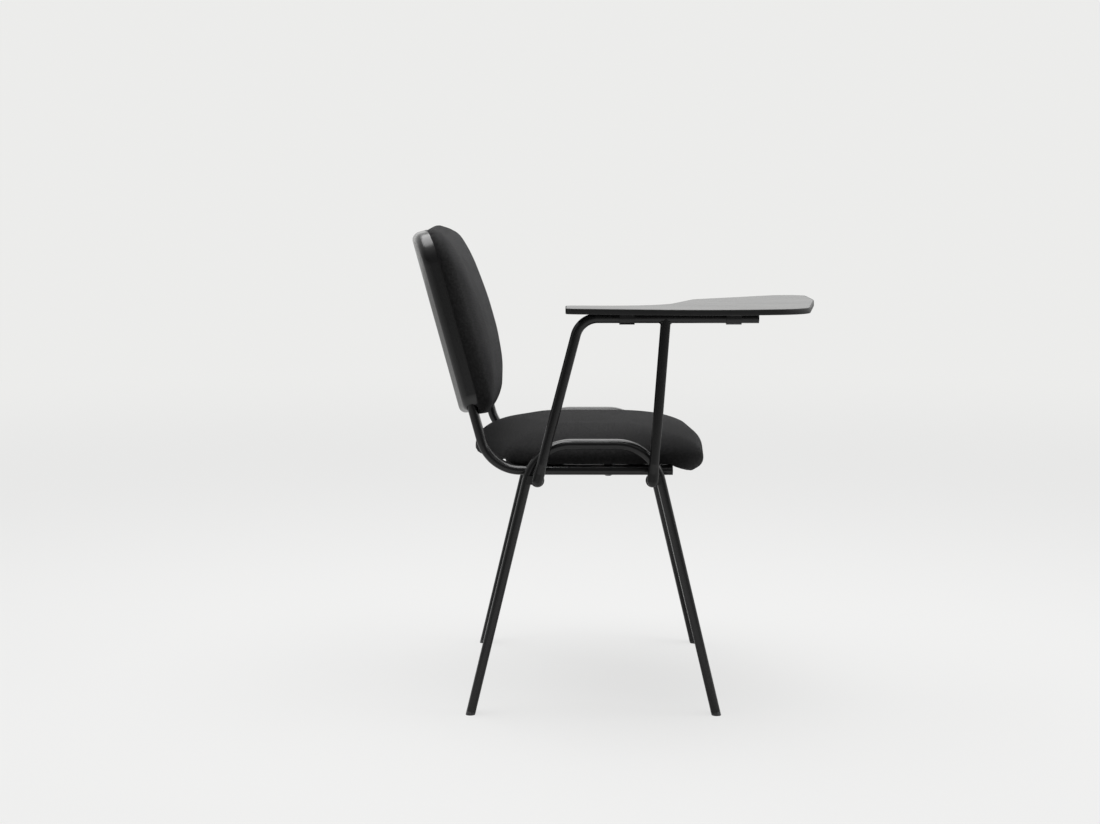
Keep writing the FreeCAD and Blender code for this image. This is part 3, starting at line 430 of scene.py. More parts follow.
@dataclass(frozen=True)
class Foam(Finish):
    """Open-cell upholstery foam."""

    name: str = "cream_foam"
    colour: Colour = (0.72, 0.66, 0.5)
    rough: Span = (0.8, 0.95)
    tones: Tones = ((0.1, 0.6), (0.6, 1.0))
    clouds: Cells = Cells(700.0)
    fine: Cells = clouds
    depth: float = 0.5 * MM


@dataclass(frozen=True)
class Plywood(Finish):
    """Raw beech plywood: pale veneer with fine flecks and thin layers at the edge."""

    name: str = "beech_plywood"
    colour: Colour = (0.5, 0.35, 0.2)
    rough: Span = (0.55, 0.75)
    tones: Tones = ((0.3, 0.7), (0.7, 1.1))
    clouds: Noise = Noise(9.0, 6.0, 0.6, stretch=(4.0, 60.0, 60.0))
    fine: Noise = clouds
    depth: float = 0.12 * MM
    layer_pitch: float = 1.5 * MM
    layer_waver: float = 0.3

    def pattern(self, sheet: ShaderSheet) -> Pattern:
        """Lay out the grain, and the layers, which differ in roughness.

        Args:
            sheet: Node tree of the finish.

        Returns:
            The values that vary the colour and the roughness, and the bumped normal.
        """
        grain, _, normal = super().pattern(sheet)
        wave = {"Scale": WAVE / self.layer_pitch, "Distortion": self.layer_waver}
        layers = sheet.texture("ShaderNodeTexWave", sheet.coordinates(), wave, bands_direction="Z")
        return grain, (layers, "Fac"), normal


@dataclass(frozen=True)
class SpunCloth(Finish):
    """Thin non-woven dust cloth: loose fibres over the points where they are pressed together."""

    name: str = "spun_dust_cloth"
    colour: Colour = (0.02, 0.02, 0.021)
    rough: Span = (0.8, 0.95)
    tones: Tones = ((0.3, 0.5), (0.7, 1.8))
    clouds: Noise = Noise(420.0, 5.0, 0.75, stretch=(1.0, 3.0, 1.0), turn=(0.0, 0.0, 35.0))
    fine: Cells = Cells(520.0, 0.25)
    depth: float = 0.2 * MM
    fine_strength: float = 0.7
    fibre_strength: float = 0.6

    def pattern(self, sheet: ShaderSheet) -> Pattern:
        """Lay out the fibres and the pressed points.

        Args:
            sheet: Node tree of the finish.

        Returns:
            The values that vary the colour and the roughness, and the bumped normal.
        """
        fibres = self.clouds.lay(sheet)
        pressed = sheet.relief(self.fine.lay(sheet), self.depth, self.fine_strength)
        return fibres, fibres, sheet.relief(fibres, self.depth, self.fibre_strength, pressed)


@dataclass(frozen=True)
class WovenFabric(Finish):
    """Charcoal black upholstery cloth in a plain weave, mottled, with soft fibre ends."""

    name: str = "charcoal_weave"
    colour: Colour = (0.0166, 0.0164, 0.0167)
    rough: Span = (0.86, 0.98)
    tones: Tones = ((0.3, 0.6), (0.52, 1.0), (0.74, 1.7))
    clouds: Noise = Noise(260.0, 3.0, 0.7)
    fine: Noise = Noise(1400.0)
    depth: float = 0.12 * MM
    fine_strength: float = 0.6
    thread_pitch: float = 1.25 * MM
    thread_waver: float = 0.6
    thread_depth: float = 0.28 * MM
    thread_strength: float = 0.8
    sheen: float = 0.1
    sheen_rough: float = 0.45
    sheen_tint: Colour = (0.75, 0.75, 0.78)
    gloss: float = 0.18

    def pattern(self, sheet: ShaderSheet) -> Pattern:
        """Lay out warp and weft on the piece's own UV map, which is in metres, and the fibre ends.

        Args:
            sheet: Node tree of the finish.

        Returns:
            The values that vary the colour and the roughness, and the bumped normal.
        """
        cloth = sheet.coordinates(space="UV")
        wave = {"Scale": WAVE / (2 * self.thread_pitch), "Distortion": self.thread_waver, "Detail": 1.0}
        warp, weft = (sheet.texture("ShaderNodeTexWave", cloth, wave, bands_direction=way) for way in "XY")
        over = sheet.texture("ShaderNodeTexChecker", cloth, {"Scale": 1.0 / self.thread_pitch})
        threads = sheet.add("ShaderNodeMix", data_type="FLOAT")
        for into, node in zip(FLOAT_MIX, (over, warp, weft)):
            sheet.join(node, "Fac", threads, into)
        sheet.put({"Sheen Weight": self.sheen, "Sheen Roughness": self.sheen_rough,
                   "Sheen Tint": (*self.sheen_tint, 1.0), "Specular IOR Level": self.gloss})
        fuzz = self.fine.lay(sheet)
        fibres = sheet.relief(fuzz, self.depth, self.fine_strength)
        weave = sheet.relief((threads, "Result"), self.thread_depth, self.thread_strength, fibres)
        return self.clouds.lay(sheet), fuzz, weave


class Bench:
    """Work on one mesh at a time in edit mode."""

    @staticmethod
    def clear() -> None:
        """Leave edit mode and select nothing."""
        if bpy.context.object is not None and bpy.context.object.mode != "OBJECT":
            bpy.ops.object.mode_set(mode="OBJECT")
        bpy.ops.object.select_all(action="DESELECT")

    @staticmethod
    def take(*pieces: Object) -> None:
        """Select only some objects.

        Args:
            pieces: The objects; the first becomes the active one.
        """
        Bench.clear()
        for piece in pieces:
            piece.select_set(True)
        bpy.context.view_layer.objects.active = pieces[0]

    @staticmethod
    def edit(piece: Object, action: str = "SELECT") -> None:
        """Open a piece in edit mode.

        Args:
            piece: The object.
            action: What is done to the selection of all its points.
        """
        Bench.take(piece)
        bpy.ops.object.mode_set(mode="EDIT")
        bpy.ops.mesh.select_mode(type="VERT")
        bpy.ops.mesh.select_all(action=action)

    @staticmethod
    def edit_flats(piece: Object) -> None:
        """Open a piece in edit mode, all selected, with each of its flats made one face."""
        Bench.edit(piece)
        bpy.ops.mesh.dissolve_limited(angle_limit=FLAT, delimit=set())

    @staticmethod
    def pick(piece: Object, kind: str, test: Callable[[object], bool]) -> None:
        """Select elements of the piece that is open in edit mode.

        Args:
            piece: The object in edit mode.
            kind: "VERT", "EDGE" or "FACE".
            test: Says of one bmesh element whether it is wanted.
        """
        bpy.ops.mesh.select_mode(type=kind)
        bpy.ops.mesh.select_all(action="DESELECT")
        mesh = bmesh.from_edit_mesh(piece.data)
        elements = {"VERT": mesh.verts, "EDGE": mesh.edges, "FACE": mesh.faces}[kind]
        for element in [element for element in elements if test(element)]:
            element.select_set(True)
        mesh.select_flush_mode()
        bmesh.update_edit_mesh(piece.data)

    @staticmethod
    def start(shape: str, **settings: object) -> Object:
        """Add a primitive to work from, with its place in its mesh.

        Args:
            shape: Blender's name of the primitive.
            settings: Its size, place and turn.

        Returns:
            The new object.
        """
        Bench.clear()
        getattr(bpy.ops.mesh, f"primitive_{shape}_add")(**settings)
        bpy.ops.object.transform_apply(location=True, rotation=True, scale=True)
        return bpy.context.object

    @staticmethod
    def modify(piece: Object, kind: str, **settings: object) -> None:
        """Put one modifier on a piece and apply it.

        Args:
            piece: The object.
            kind: Blender's type name of the modifier.
            settings: Values of the modifier's properties.
        """
        modifier = piece.modifiers.new(kind.title(), kind)
        for key, value in settings.items():
            setattr(modifier, key, value)
        Bench.take(piece)
        bpy.ops.object.modifier_apply(modifier=modifier.name)

    @staticmethod
    def remesh(piece: Object, voxel: float) -> None:
        """Make a piece one even skin of faces about a voxel wide."""
        Bench.modify(piece, "REMESH", mode="VOXEL", voxel_size=voxel)

    @staticmethod
    def relax(piece: Object, times: int, group: str = "") -> None:
        """Even out a piece's points, or those of one group, a number of times."""
        Bench.modify(piece, "SMOOTH", factor=0.5, iterations=times, vertex_group=group)

    @staticmethod
    def keep_outside(piece: Object, core: Object, gap: float = 0.0) -> None:
        """Push the points of a piece that lie inside a core out of it, and off it by a gap."""
        Bench.modify(piece, "SHRINKWRAP", target=core, wrap_method="NEAREST_SURFACEPOINT",
                     wrap_mode="OUTSIDE", offset=gap)

    @staticmethod
    def cut(piece: Object, tool: Object, operation: str = "DIFFERENCE") -> None:
        """Cut a piece with another one, which is used up."""
        Bench.modify(piece, "BOOLEAN", object=tool, operation=operation, solver="EXACT")
        bpy.data.objects.remove(tool)

    @staticmethod
    def duplicate(piece: Object, name: str, place: Matrix | None = None) -> Object:
        """A copy with a mesh of its own, moved to its place in the mesh.

        Args:
            piece: The object to copy.
            name: Name of the copy.
            place: Where the copy goes, or nothing to leave it there.

        Returns:
            The copy.
        """
        copy = bpy.data.objects.new(name, piece.data.copy())
        copy.data.name = name
        if place is not None:
            copy.data.transform(place)
        bpy.context.scene.collection.objects.link(copy)
        return copy

    @staticmethod
    def spread_out(model: Object, name: str, places: Iterable[Matrix]) -> Object:
        """Put copies of one model at several places and join them.

        Args:
            model: The object to copy, which is used up.
            name: Name of the joined copies.
            places: Where each copy goes.

        Returns:
            The joined copies.
        """
        copies = [Bench.duplicate(model, f"{name}_{index}", place) for index, place in enumerate(places)]
        bpy.data.objects.remove(model)
        return Bench.join(name, *copies)

    @staticmethod
    def solids(node: str) -> list[tuple[Vector, Vector]]:
        """Boxes of the separate solids of a CAD node.

        Args:
            node: Name of the node.

        Returns:
            Lowest and highest corner of each solid, in a fixed order.
        """
        Bench.take(Bench.copy_node(node, "solids"))
        bpy.ops.mesh.separate(type="LOOSE")
        boxes = []
        for part in list(bpy.context.selected_objects):
            corners = [point.co for point in part.data.vertices]
            boxes.append(tuple(Vector(end(corner[axis] for corner in corners) for axis in range(3))
                               for end in (min, max)))
            bpy.data.objects.remove(part)
        return sorted(boxes, key=lambda box: [round(value / MM) for value in box[0]])

    @staticmethod
    def copy_node(node: str, name: str) -> Object:
        """A merged copy of a CAD node's mesh as a new object.

        Args:
            node: Name of the node.
            name: Name of the copy.

        Returns:
            The copy, at the origin, with its place in its mesh.
        """
        piece = Bench.duplicate(frame["nodes"][node], name)
        piece.data.materials.clear()
        Bench.take(piece)
        bpy.ops.mesh.customdata_custom_splitnormals_clear()
        Bench.edit(piece)
        bpy.ops.mesh.remove_doubles(threshold=MERGE)
        Bench.clear()
        return piece

    @staticmethod
    def join(name: str, *pieces: Object) -> Object:
        """Join pieces into one.

        Args:
            name: Name of the joined piece.
            pieces: The objects, of which the first takes in the others.

        Returns:
            The joined piece.
        """
        Bench.take(*pieces)
        bpy.ops.object.join()
        pieces[0].name = pieces[0].data.name = name
        return pieces[0]

    @staticmethod
    def smooth(piece: Object, angle: float = 35.0) -> None:
        """Shade smooth except at edges sharper than an angle in degrees."""
        Bench.take(piece)
        bpy.ops.object.shade_smooth_by_angle(angle=math.radians(angle))


class Palette:
    """Every finish of the chair, made once."""

    def __init__(self) -> None:
        """Make the materials, one for each slot of the record."""
        finishes = {
            Slot.FRAME: PowderCoat(),
            Slot.GLIDE: MouldedPlastic("grey_glide", (0.09, 0.09, 0.092), (0.42, 0.6)),
            Slot.CAP: MouldedPlastic("black_cap", (0.014, 0.014, 0.015), (0.42, 0.58)),
            Slot.PLYWOOD: Plywood(),
            Slot.FOAM: Foam(),
            Slot.COVER: WovenFabric(),
            Slot.CLOTH: SpunCloth(),
            Slot.SHELL: MouldedPlastic("grained_shell", (0.015, 0.015, 0.0155), (0.15, 0.23), refraction=1.6),
            Slot.ZINC: ZincPlate(),
            Slot.SCREW: ZincPlate("black_passivate", (0.035, 0.035, 0.037), (0.3, 0.5)),
            Slot.TABLET: Laminate(),
            Slot.BAND: MouldedPlastic("edge_band", (0.014, 0.014, 0.0145), (0.36, 0.5), fine=Cells(700.0),
                                      depth=0.04 * MM),
        }
        self.materials = {slot: finish.material() for slot, finish in finishes.items()}

    def dress_nodes(self) -> None:
        """Give every CAD node the finish of its slot."""
        for row in frame["record"]["subparts"]:
            mesh = frame["nodes"][row["node"]].data
            mesh.materials.clear()
            mesh.materials.append(self.materials[Slot(row["material_slot"])])

    def settle(self, piece: Object, slot: Slot, body: Body, *nodes: str) -> None:
        """Dress a new piece, set it on its body and let it stand for CAD nodes.

        Args:
            piece: The finished object.
            slot: Slot of the record that it takes its finish from.
            body: Body that it moves with.
            nodes: CAD nodes that it stands for.
        """
        Bench.clear()
        piece.data.materials.clear()
        piece.data.materials.append(self.materials[slot])
        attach(piece, body.value)
        if nodes:
            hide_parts(*nodes)
        LOG.info("%s: %d faces, %s finish", piece.name, len(piece.data.polygons), slot.value)


@dataclass(frozen=True)
class Press:
    """Filling pressed in towards one end of a cushion, most of all at that end."""

    end: End
    reach: float
    depth: float
    full_facing: float = 0.7


@dataclass(frozen=True)
class Hem:
    """Folds of the cover under a cushion's rim, round the field that its dust cloth covers."""

    field_node: str
    width: float = 6.0 * MM
    height: float = 26.0 * MM
    depth: float = 2.0 * MM
    rear_from: float = -0.14
    rear_width: float = 30.0 * MM
    rear_depth: float = 3.2 * MM
    evened: int = 3


@dataclass
class Cushion:
    """A foam cushion under a taut fabric cover, swelled a little by its filling."""

    name: str
    core_nodes: tuple[str, ...]
    stands_for: tuple[str, ...]
    board_side: Point
    presses: tuple[Press, ...] = ()
    hem: Hem | None = None
    cloth_thick: float = 1.25 * MM
    least_cloth: float = 0.6 * MM
    form_voxel: float = 2.0 * MM
    form_rounded: int = 36
    form_evened: int = 3
    form_eased: int = 4
    cover_voxel: float = 4.5 * MM
    cover_evened: int = 4
    cover_rounded: int = 10
    cover_eased: int = 2
    draw_in: float = 3.0 * MM
    swell: float = 5.0 * MM
    pressure: float = 4.0
    stretch: float = 40.0
    stiffness: float = 30.0
    quality: int = 5
    held_share: float = 0.55
    last_frame: int = 20
    fill: float = 0.85
    crease: float = 75.0

    def part_sides(self, piece: Object) -> None:
        """Sort a piece's points into those held against the board and those that are free.

        Args:
            piece: The object, which gets a group for each.
        """
        side = Vector(self.board_side).normalized()
        held, free = [], []
        for point in piece.data.vertices:
            (held if point.normal.dot(side) > self.held_share else free).append(point.index)
        piece.vertex_groups.new(name="held").add(held, 1.0, "REPLACE")
        piece.vertex_groups.new(name="free").add(free, 1.0, "REPLACE")

    def press_in(self, form: Object) -> None:
        """Press the front in towards the cushion's ends.

        Args:
            form: Foam and board.
        """
        front = -Vector(self.board_side).normalized()
        up = Vector((-front.z, 0.0, front.x))
        heights = [point.co.dot(up) for point in form.data.vertices]
        facing = [max(0.0, point.normal.dot(front)) for point in form.data.vertices]
        ends = {End.TOP: max(heights), End.FOOT: min(heights)}
        for point, height, share in zip(form.data.vertices, heights, facing):
            for press in self.presses:
                near = max(0.0, 1.0 - abs(ends[press.end] - height) / press.reach)
                point.co -= front * (press.depth * near * near * min(1.0, share / press.full_facing))

    def form(self) -> Object:
        """Make foam and board one smooth closed body, grown by the cloth's thickness.

        Returns:
            The body that the cover goes over.
        """
        parts = [Bench.copy_node(node, f"{self.name}_{node}") for node in self.core_nodes]
        core = Bench.join(f"{self.name}_core", *parts)
        Bench.remesh(core, self.form_voxel)
        top = max(point.co.z for point in core.data.vertices)
        Bench.edit(core)
        Bench.pick(core, "VERT", lambda point: point.co.z > top - self.form_voxel)
        bpy.ops.mesh.select_linked()
        bpy.ops.mesh.select_all(action="INVERT")
        bpy.ops.mesh.delete(type="VERT")
        Bench.clear()
        form = Bench.duplicate(core, f"{self.name}_form")
        self.part_sides(form)
        Bench.modify(form, "DISPLACE", mid_level=0.0, strength=self.cloth_thick)
        Bench.relax(form, self.form_rounded, "free")
        Bench.relax(form, self.form_evened)
        if self.presses:
            self.press_in(form)
        else:
            Bench.keep_outside(form, core, self.least_cloth)
        Bench.relax(form, self.form_eased)
        bpy.data.objects.remove(core)
        form.vertex_groups.clear()
        return form

    def cover(self, form: Object) -> Object:
        """One even closed skin over the form, drawn in on its free sides.

        Args:
            form: Foam and board.

        Returns:
            The cover before it is filled, with its free points in a group.
        """
        piece = Bench.duplicate(form, self.name)
        Bench.remesh(piece, self.cover_voxel)
        Bench.relax(piece, self.cover_evened)
        self.part_sides(piece)
        Bench.modify(piece, "DISPLACE", mid_level=0.0, strength=-self.draw_in, vertex_group="free")
        return piece

    def fill_out(self, piece: Object) -> None:
        """Swell the cover by cloth simulation and keep each point near its start.

        Args:
            piece: The cover.
        """
        starts = [point.co.copy() for point in piece.data.vertices]
        cloth = piece.modifiers.new("Filling", "CLOTH")
        settings = cloth.settings
        settings.use_pressure = True
        settings.uniform_pressure_force = self.pressure
        settings.vertex_group_mass = "held"
        settings.effector_weights.gravity = 0.0
        settings.tension_stiffness = settings.compression_stiffness = self.stretch
        settings.bending_stiffness = self.stiffness
        settings.quality = self.quality
        cloth.point_cache.frame_start = 1
        cloth.point_cache.frame_end = self.last_frame
        for number in range(1, self.last_frame + 1):
            bpy.context.scene.frame_set(number)
        Bench.take(piece)
        bpy.ops.object.modifier_apply(modifier=cloth.name)
        bpy.context.scene.frame_set(1)
        for point, start in zip(piece.data.vertices, starts):
            move = point.co - start
            if move.length > self.swell:
                point.co = start + move * (self.swell / move.length)

    def pull_over(self, piece: Object, form: Object) -> None:
        """Even the cover out and keep all of it outside the form.

        Args:
            piece: The cover.
            form: Foam and board.
        """
        Bench.relax(piece, self.cover_rounded, "free")
        Bench.modify(piece, "SUBSURF", levels=1, render_levels=1)
        Bench.keep_outside(piece, form)
        Bench.relax(piece, self.cover_eased)

    def hang(self, piece: Object, hem: Hem) -> None:
        """Let the cover's folds hang under the rim.

        Args:
            piece: The cover.
            hem: Size of its folds.
        """
        low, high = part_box(hem.field_node)
        for point in piece.data.vertices:
            x, y, z = point.co
            rim = ease(max(low[0] - x, x - high[0], low[1] - y, y - high[1]) / hem.width)
            near = ease(1.0 - abs(z - low[2]) / hem.height)
            rear = ease((hem.rear_from - x) / hem.rear_width)
            point.co.z -= rim * near * (hem.depth + rear * hem.rear_depth)
        Bench.relax(piece, hem.evened)

    def lay_weave(self, piece: Object) -> None:
        """Lay the cloth's UV map on in metres, seen square to each side.

        Args:
            piece: The cover.
        """
        Bench.edit(piece)
        bpy.ops.uv.cube_project(cube_size=1.0, correct_aspect=False, scale_to_bounds=False)
        Bench.clear()

    def build(self, palette: Palette) -> None:
        """Make the cushion and dress it.

        Args:
            palette: Finishes of the chair.
        """
        form = self.form()
        piece = self.cover(form)
        self.fill_out(piece)
        self.pull_over(piece, form)
        bpy.data.objects.remove(form)
        if self.hem is not None:
            self.hang(piece, self.hem)
        self.lay_weave(piece)
        Bench.smooth(piece, self.crease)
        palette.settle(piece, Slot.COVER, Body.CHAIR, *self.stands_for)


@dataclass
class EdgeBand:
    """Band round the writing tablet's board, with rounded edges."""

    node: str = "tablet_edge_band"
    board_node: str = "tablet_board"
    edge_round: float = 1.0 * MM
    edge_steps: int = 4
    joint_round: float = 0.25 * MM
    joint_steps: int = 2
    joint_reach: float = 1.0 * MM
    rim_angle: float = 60.0

    def on_rim(self, edge: bmesh.types.BMEdge, wall: BVHTree, outer: bool) -> bool:
        """Whether an edge runs along the band's rim.

        Args:
            edge: Edge of the band.
            wall: The board that the band goes round.
            outer: True for the outer rim, False for the joint against the board.

        Returns:
            True on that rim.
        """
        if len(edge.link_faces) != 2 or edge.calc_face_angle(0.0) < math.radians(self.rim_angle):
            return False
        first, last = (point.co for point in edge.verts)
        gap = wall.find_nearest((first + last) / 2)[3]
        return abs(first.z - last.z) < LEVEL and (gap > self.joint_reach) == outer

    def build(self, palette: Palette) -> None:
        """Round the band's outer edges and make a fine joint against the board.

        Args:
            palette: Finishes of the chair.
        """
        board = Bench.copy_node(self.board_node, "board_form")
        wall = BVHTree.FromPolygons([point.co for point in board.data.vertices],
                                    [face.vertices for face in board.data.polygons])
        band = Bench.copy_node(self.node, "tablet_edging")
        Bench.edit_flats(band)
        Bench.pick(band, "EDGE", lambda edge: self.on_rim(edge, wall, True))
        bpy.ops.mesh.bevel(offset=self.edge_round, segments=self.edge_steps, affect="EDGES")
        Bench.pick(band, "EDGE", lambda edge: self.on_rim(edge, wall, False))
        bpy.ops.mesh.bevel(offset=self.joint_round, segments=self.joint_steps, affect="EDGES")
        Bench.clear()
        bpy.data.objects.remove(board)
        Bench.smooth(band)
        palette.settle(band, Slot.BAND, Body.TABLET, self.node)


@dataclass
class PanScrews:
    """Screws with a round-edged head turned down and a cross recess in it."""

    node: str
    body: Body
    head: float
    shank: float
    sides: int = 28
    rim_share: float = 0.6
    rim_steps: int = 5
    arm_share: float = 0.55
    slot_share: float = 0.17
    deep_share: float = 0.55

    def model(self, radius: float, length: float) -> Object:
        """One screw on the Z axis with the middle of its head's face at the origin.

        Args:
            radius: Radius of the head.
            length: Height of head and shank together.

        Returns:
            The screw.
        """
        screw = Bench.start("cylinder", vertices=self.sides, radius=radius, depth=self.head,
                            location=(0.0, 0.0, self.head / 2))
        Bench.edit(screw)
        Bench.pick(screw, "EDGE", lambda edge: all(point.co.z < self.head / 2 for point in edge.verts))
        bpy.ops.mesh.bevel(offset=self.rim_share * self.head, segments=self.rim_steps, affect="EDGES")
        Bench.pick(screw, "FACE", lambda face: face.normal.z > FACING)
        bpy.ops.mesh.inset(thickness=radius - self.shank)
        bpy.ops.mesh.extrude_region_move(TRANSFORM_OT_translate={"value": (0.0, 0.0, length - self.head)})
        Bench.clear()
        arm, slot, deep = (2 * share * radius for share in (self.arm_share, self.slot_share, self.deep_share))
        for size in ((arm, slot, deep), (slot, arm, deep)):
            Bench.cut(screw, Bench.start("cube", size=1.0, scale=size))
        return screw

    def build(self, palette: Palette) -> None:
        """Model one screw and put a copy in each one's place.

        Args:
            palette: Finishes of the chair.
        """
        boxes = Bench.solids(self.node)
        low, high = boxes[0]
        model = self.model((high.x - low.x) / 2, high.z - low.z)
        places = [Vector(((low.x + high.x) / 2, (low.y + high.y) / 2, low.z)) for low, high in boxes]
        piece = Bench.spread_out(model, f"{self.node}_cross", map(Matrix.Translation, places))
        Bench.smooth(piece)
        palette.settle(piece, Slot.SCREW, self.body, self.node)


@dataclass
class HexNuts:
    """Chamfered hexagon nuts behind the arm's lugs."""

    node: str = "arm_nuts"
    corners: int = 6
    chamfer_share: float = 0.17
    clear: float = 0.05 * MM
    steps: int = 48
    crease: float = 20.0

    def build(self, palette: Palette) -> None:
        """Model one nut along Y and put a copy in each one's place.

        Args:
            palette: Finishes of the chair.
        """
        boxes = Bench.solids(self.node)
        low, high = boxes[0]
        reach, thick = (high.x - low.x) / 2, high.y - low.y
        lie, turn = math.pi / 2, math.pi / self.corners
        nut = Bench.start("cylinder", vertices=self.corners, radius=reach, depth=thick,
                          rotation=(lie, turn, 0.0))
        blank = Bench.start("cylinder", vertices=self.steps, radius=reach + self.clear,
                            depth=thick + 2 * self.clear, rotation=(lie, turn + math.pi / self.steps, 0.0))
        Bench.edit(blank)
        Bench.pick(blank, "EDGE", lambda edge: abs(edge.verts[0].co.y - edge.verts[1].co.y) < LEVEL)
        bpy.ops.mesh.bevel(offset=self.chamfer_share * reach, segments=1, affect="EDGES")
        Bench.clear()
        Bench.cut(nut, blank, "INTERSECT")
        places = [Matrix.Translation((low + high) / 2) for low, high in boxes]
        piece = Bench.spread_out(nut, "arm_nuts_hex", places)
        Bench.smooth(piece, self.crease)
        palette.settle(piece, Slot.ZINC, Body.CHAIR, self.node)


@dataclass
class WeldSeams:
    """Rippled weld seams where the frame's and the arm's tubes meet."""

    node: str = "frame_weld_beads"
    blob: float = 1.9 * MM
    step: float = 1.9 * MM
    ring: float = 4.6 * MM
    cope_sweep: float = 165.0
    arm_radius: float = 8.0 * MM
    ground_from: float = 6.0 * MM
    voxel: float = 0.45 * MM
    evened: int = 2
    crease: float = 80.0

    def angles(self, radius: float, sweep: float = FULL_TURN) -> list[float]:
        """Even angles, about one step apart on a circle.

        Args:
            radius: Radius of the circle.
            sweep: Degrees that the angles cover.

        Returns:
            The angles in radians, with zero in their middle.
        """
        arc = math.radians(sweep)
        count = round(arc * radius / self.step)
        return [arc * (index / count - 0.5) for index in range(count + (sweep < FULL_TURN))]

    def crossing(self, middle: Vector) -> Iterable[Vector]:
        """Ring round the point where a leg frame crosses a seat tube."""
        for angle in self.angles(self.ring):
            yield middle + self.ring * Vector((math.cos(angle), 0.0, math.sin(angle)))

    def cope(self, cross: str, side: str, inward: float) -> Iterable[Vector]:
        """Both round sides of a cross tube's end, where it is coped onto a seat tube.

        Args:
            cross: Node of the cross tube.
            side: Node of the seat tube.
            inward: Direction along Y from the seat tube to the cross tube.

        Yields:
            Points along the seam.
        """
        low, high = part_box(cross)
        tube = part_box(side)
        radius = (high[2] - low[2]) / 2
        edge_y = (tube[1][1] if inward > 0 else tube[0][1]) - inward * radius
        for face_x, outward in ((low[0] + radius, -1.0), (high[0] - radius, 1.0)):
            for angle in self.angles(radius * SADDLE, self.cope_sweep):
                bulge = radius * math.cos(angle)
                yield Vector((face_x + outward * bulge, edge_y + inward * bulge,
                              (low[2] + high[2]) / 2 + radius * math.sin(angle)))

    def post_top(self) -> Iterable[Vector]:
        """Saddle-shaped seam of front post and rail, ground away where the folded tablet lies.

        Yields:
            Points along the seam.
        """
        rail = Vector(frame["record"]["behaviour"]["joints"][0]["pos_m"])
        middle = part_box("arm_front_post")[1][0] - self.arm_radius
        for angle in self.angles(self.arm_radius * SADDLE):
            ahead, across = self.arm_radius * math.cos(angle), self.arm_radius * math.sin(angle)
            if across > -self.ground_from:
                yield rail + Vector((middle - rail.x + ahead, across, -abs(ahead)))

    def build(self, palette: Palette) -> None:
        """Lay a row of blobs along every seam and fuse them.

        Args:
            palette: Finishes of the chair.
        """
        points = list(self.post_top())
        for low, high in Bench.solids(self.node):
            points += self.crossing((low + high) / 2)
        for cross in ("front_cross_tube", "rear_cross_tube"):
            points += self.cope(cross, "seat_back_tube_right", 1.0)
            points += self.cope(cross, "seat_back_tube_left", -1.0)
        blob = Bench.start("ico_sphere", subdivisions=2, radius=self.blob)
        seam = Bench.spread_out(blob, "frame_weld_seams", [Matrix.Translation(point) for point in points])
        Bench.remesh(seam, self.voxel)
        Bench.relax(seam, self.evened)
        Bench.smooth(seam, self.crease)
        palette.settle(seam, Slot.FRAME, Body.CHAIR, self.node)


@dataclass
class Underlining:
    """Hemmed dust cloth stapled to the underside of the seat."""

    node: str = "seat_dust_cloth"
    hem: float = 9.0 * MM
    fold: float = 0.5 * MM
    drop: float = 1.1 * MM
    staple_step: float = 34.0 * MM
    staple_long: float = 10.0 * MM
    staple_wire: float = 1.0 * MM
    staple_round: float = 0.3 * MM
    round_steps: int = 2

    def build(self, palette: Palette) -> None:
        """Make the cloth and its staples.

        Args:
            palette: Finishes of the chair.
        """
        cloth = Bench.copy_node(self.node, "seat_underlining")
        Bench.edit_flats(cloth)
        bpy.ops.transform.translate(value=(0.0, 0.0, -self.drop))
        Bench.pick(cloth, "FACE", lambda face: face.normal.z < -FACING)
        bpy.ops.mesh.inset(thickness=self.hem)
        bpy.ops.transform.translate(value=(0.0, 0.0, self.fold))
        bpy.ops.mesh.inset(thickness=self.fold)
        field = next(face for face in bmesh.from_edit_mesh(cloth.data).faces if face.select)
        loop = [point.co.copy() for point in field.verts]
        Bench.clear()
        Bench.smooth(cloth)
        palette.settle(cloth, Slot.CLOTH, Body.CHAIR, self.node)
        self.staples(loop, palette)

    def staples(self, loop: list[Vector], palette: Palette) -> None:
        """Put staples along the hem.

        Args:
            loop: Corners of the cloth's inner field, in order.
            palette: Finishes of the chair.
        """
        staple = Bench.start("cube", size=1.0, scale=(self.staple_long, self.staple_wire, self.staple_wire))
        Bench.edit(staple)
        bpy.ops.mesh.bevel(offset=self.staple_round, segments=self.round_steps, affect="EDGES")
        Bench.clear()
        middle = sum(loop, Vector()) / len(loop)
        places = []
        walked = 0.0
        for first, last in zip(loop, loop[1:] + loop[:1]):
            run = last - first
            while walked < run.length:
                at = first + run * (walked / run.length)
                out = (at - middle).normalized() * (self.hem / 2)
                turn = Matrix.Rotation(math.atan2(run.y, run.x), 4, "Z")
                places.append(Matrix.Translation(at + out - Vector((0.0, 0.0, self.fold))) @ turn)
                walked += self.staple_step
            walked -= run.length
        piece = Bench.spread_out(staple, "underlining_staples", places)
        Bench.smooth(piece)
        palette.settle(piece, Slot.ZINC, Body.CHAIR)


@dataclass(frozen=True)
class SoftBox:
    """A soft rectangular lamp: its place, the point that it faces, its width and length, and its watts."""

    name: str
    at: Point
    aim: Point
    size: Span
    power: float

    def hang(self) -> None:
        """Put the lamp in its place."""
        light = bpy.data.lights.new(self.name, "AREA")
        light.shape = "RECTANGLE"
        light.size, light.size_y = self.size
        light.energy = self.power
        lamp = bpy.data.objects.new(self.name, light)
        lamp.location = self.at
        lamp.rotation_euler = (Vector(self.aim) - Vector(self.at)).to_track_quat("-Z", "Y").to_euler()
        bpy.context.scene.collection.objects.link(lamp)


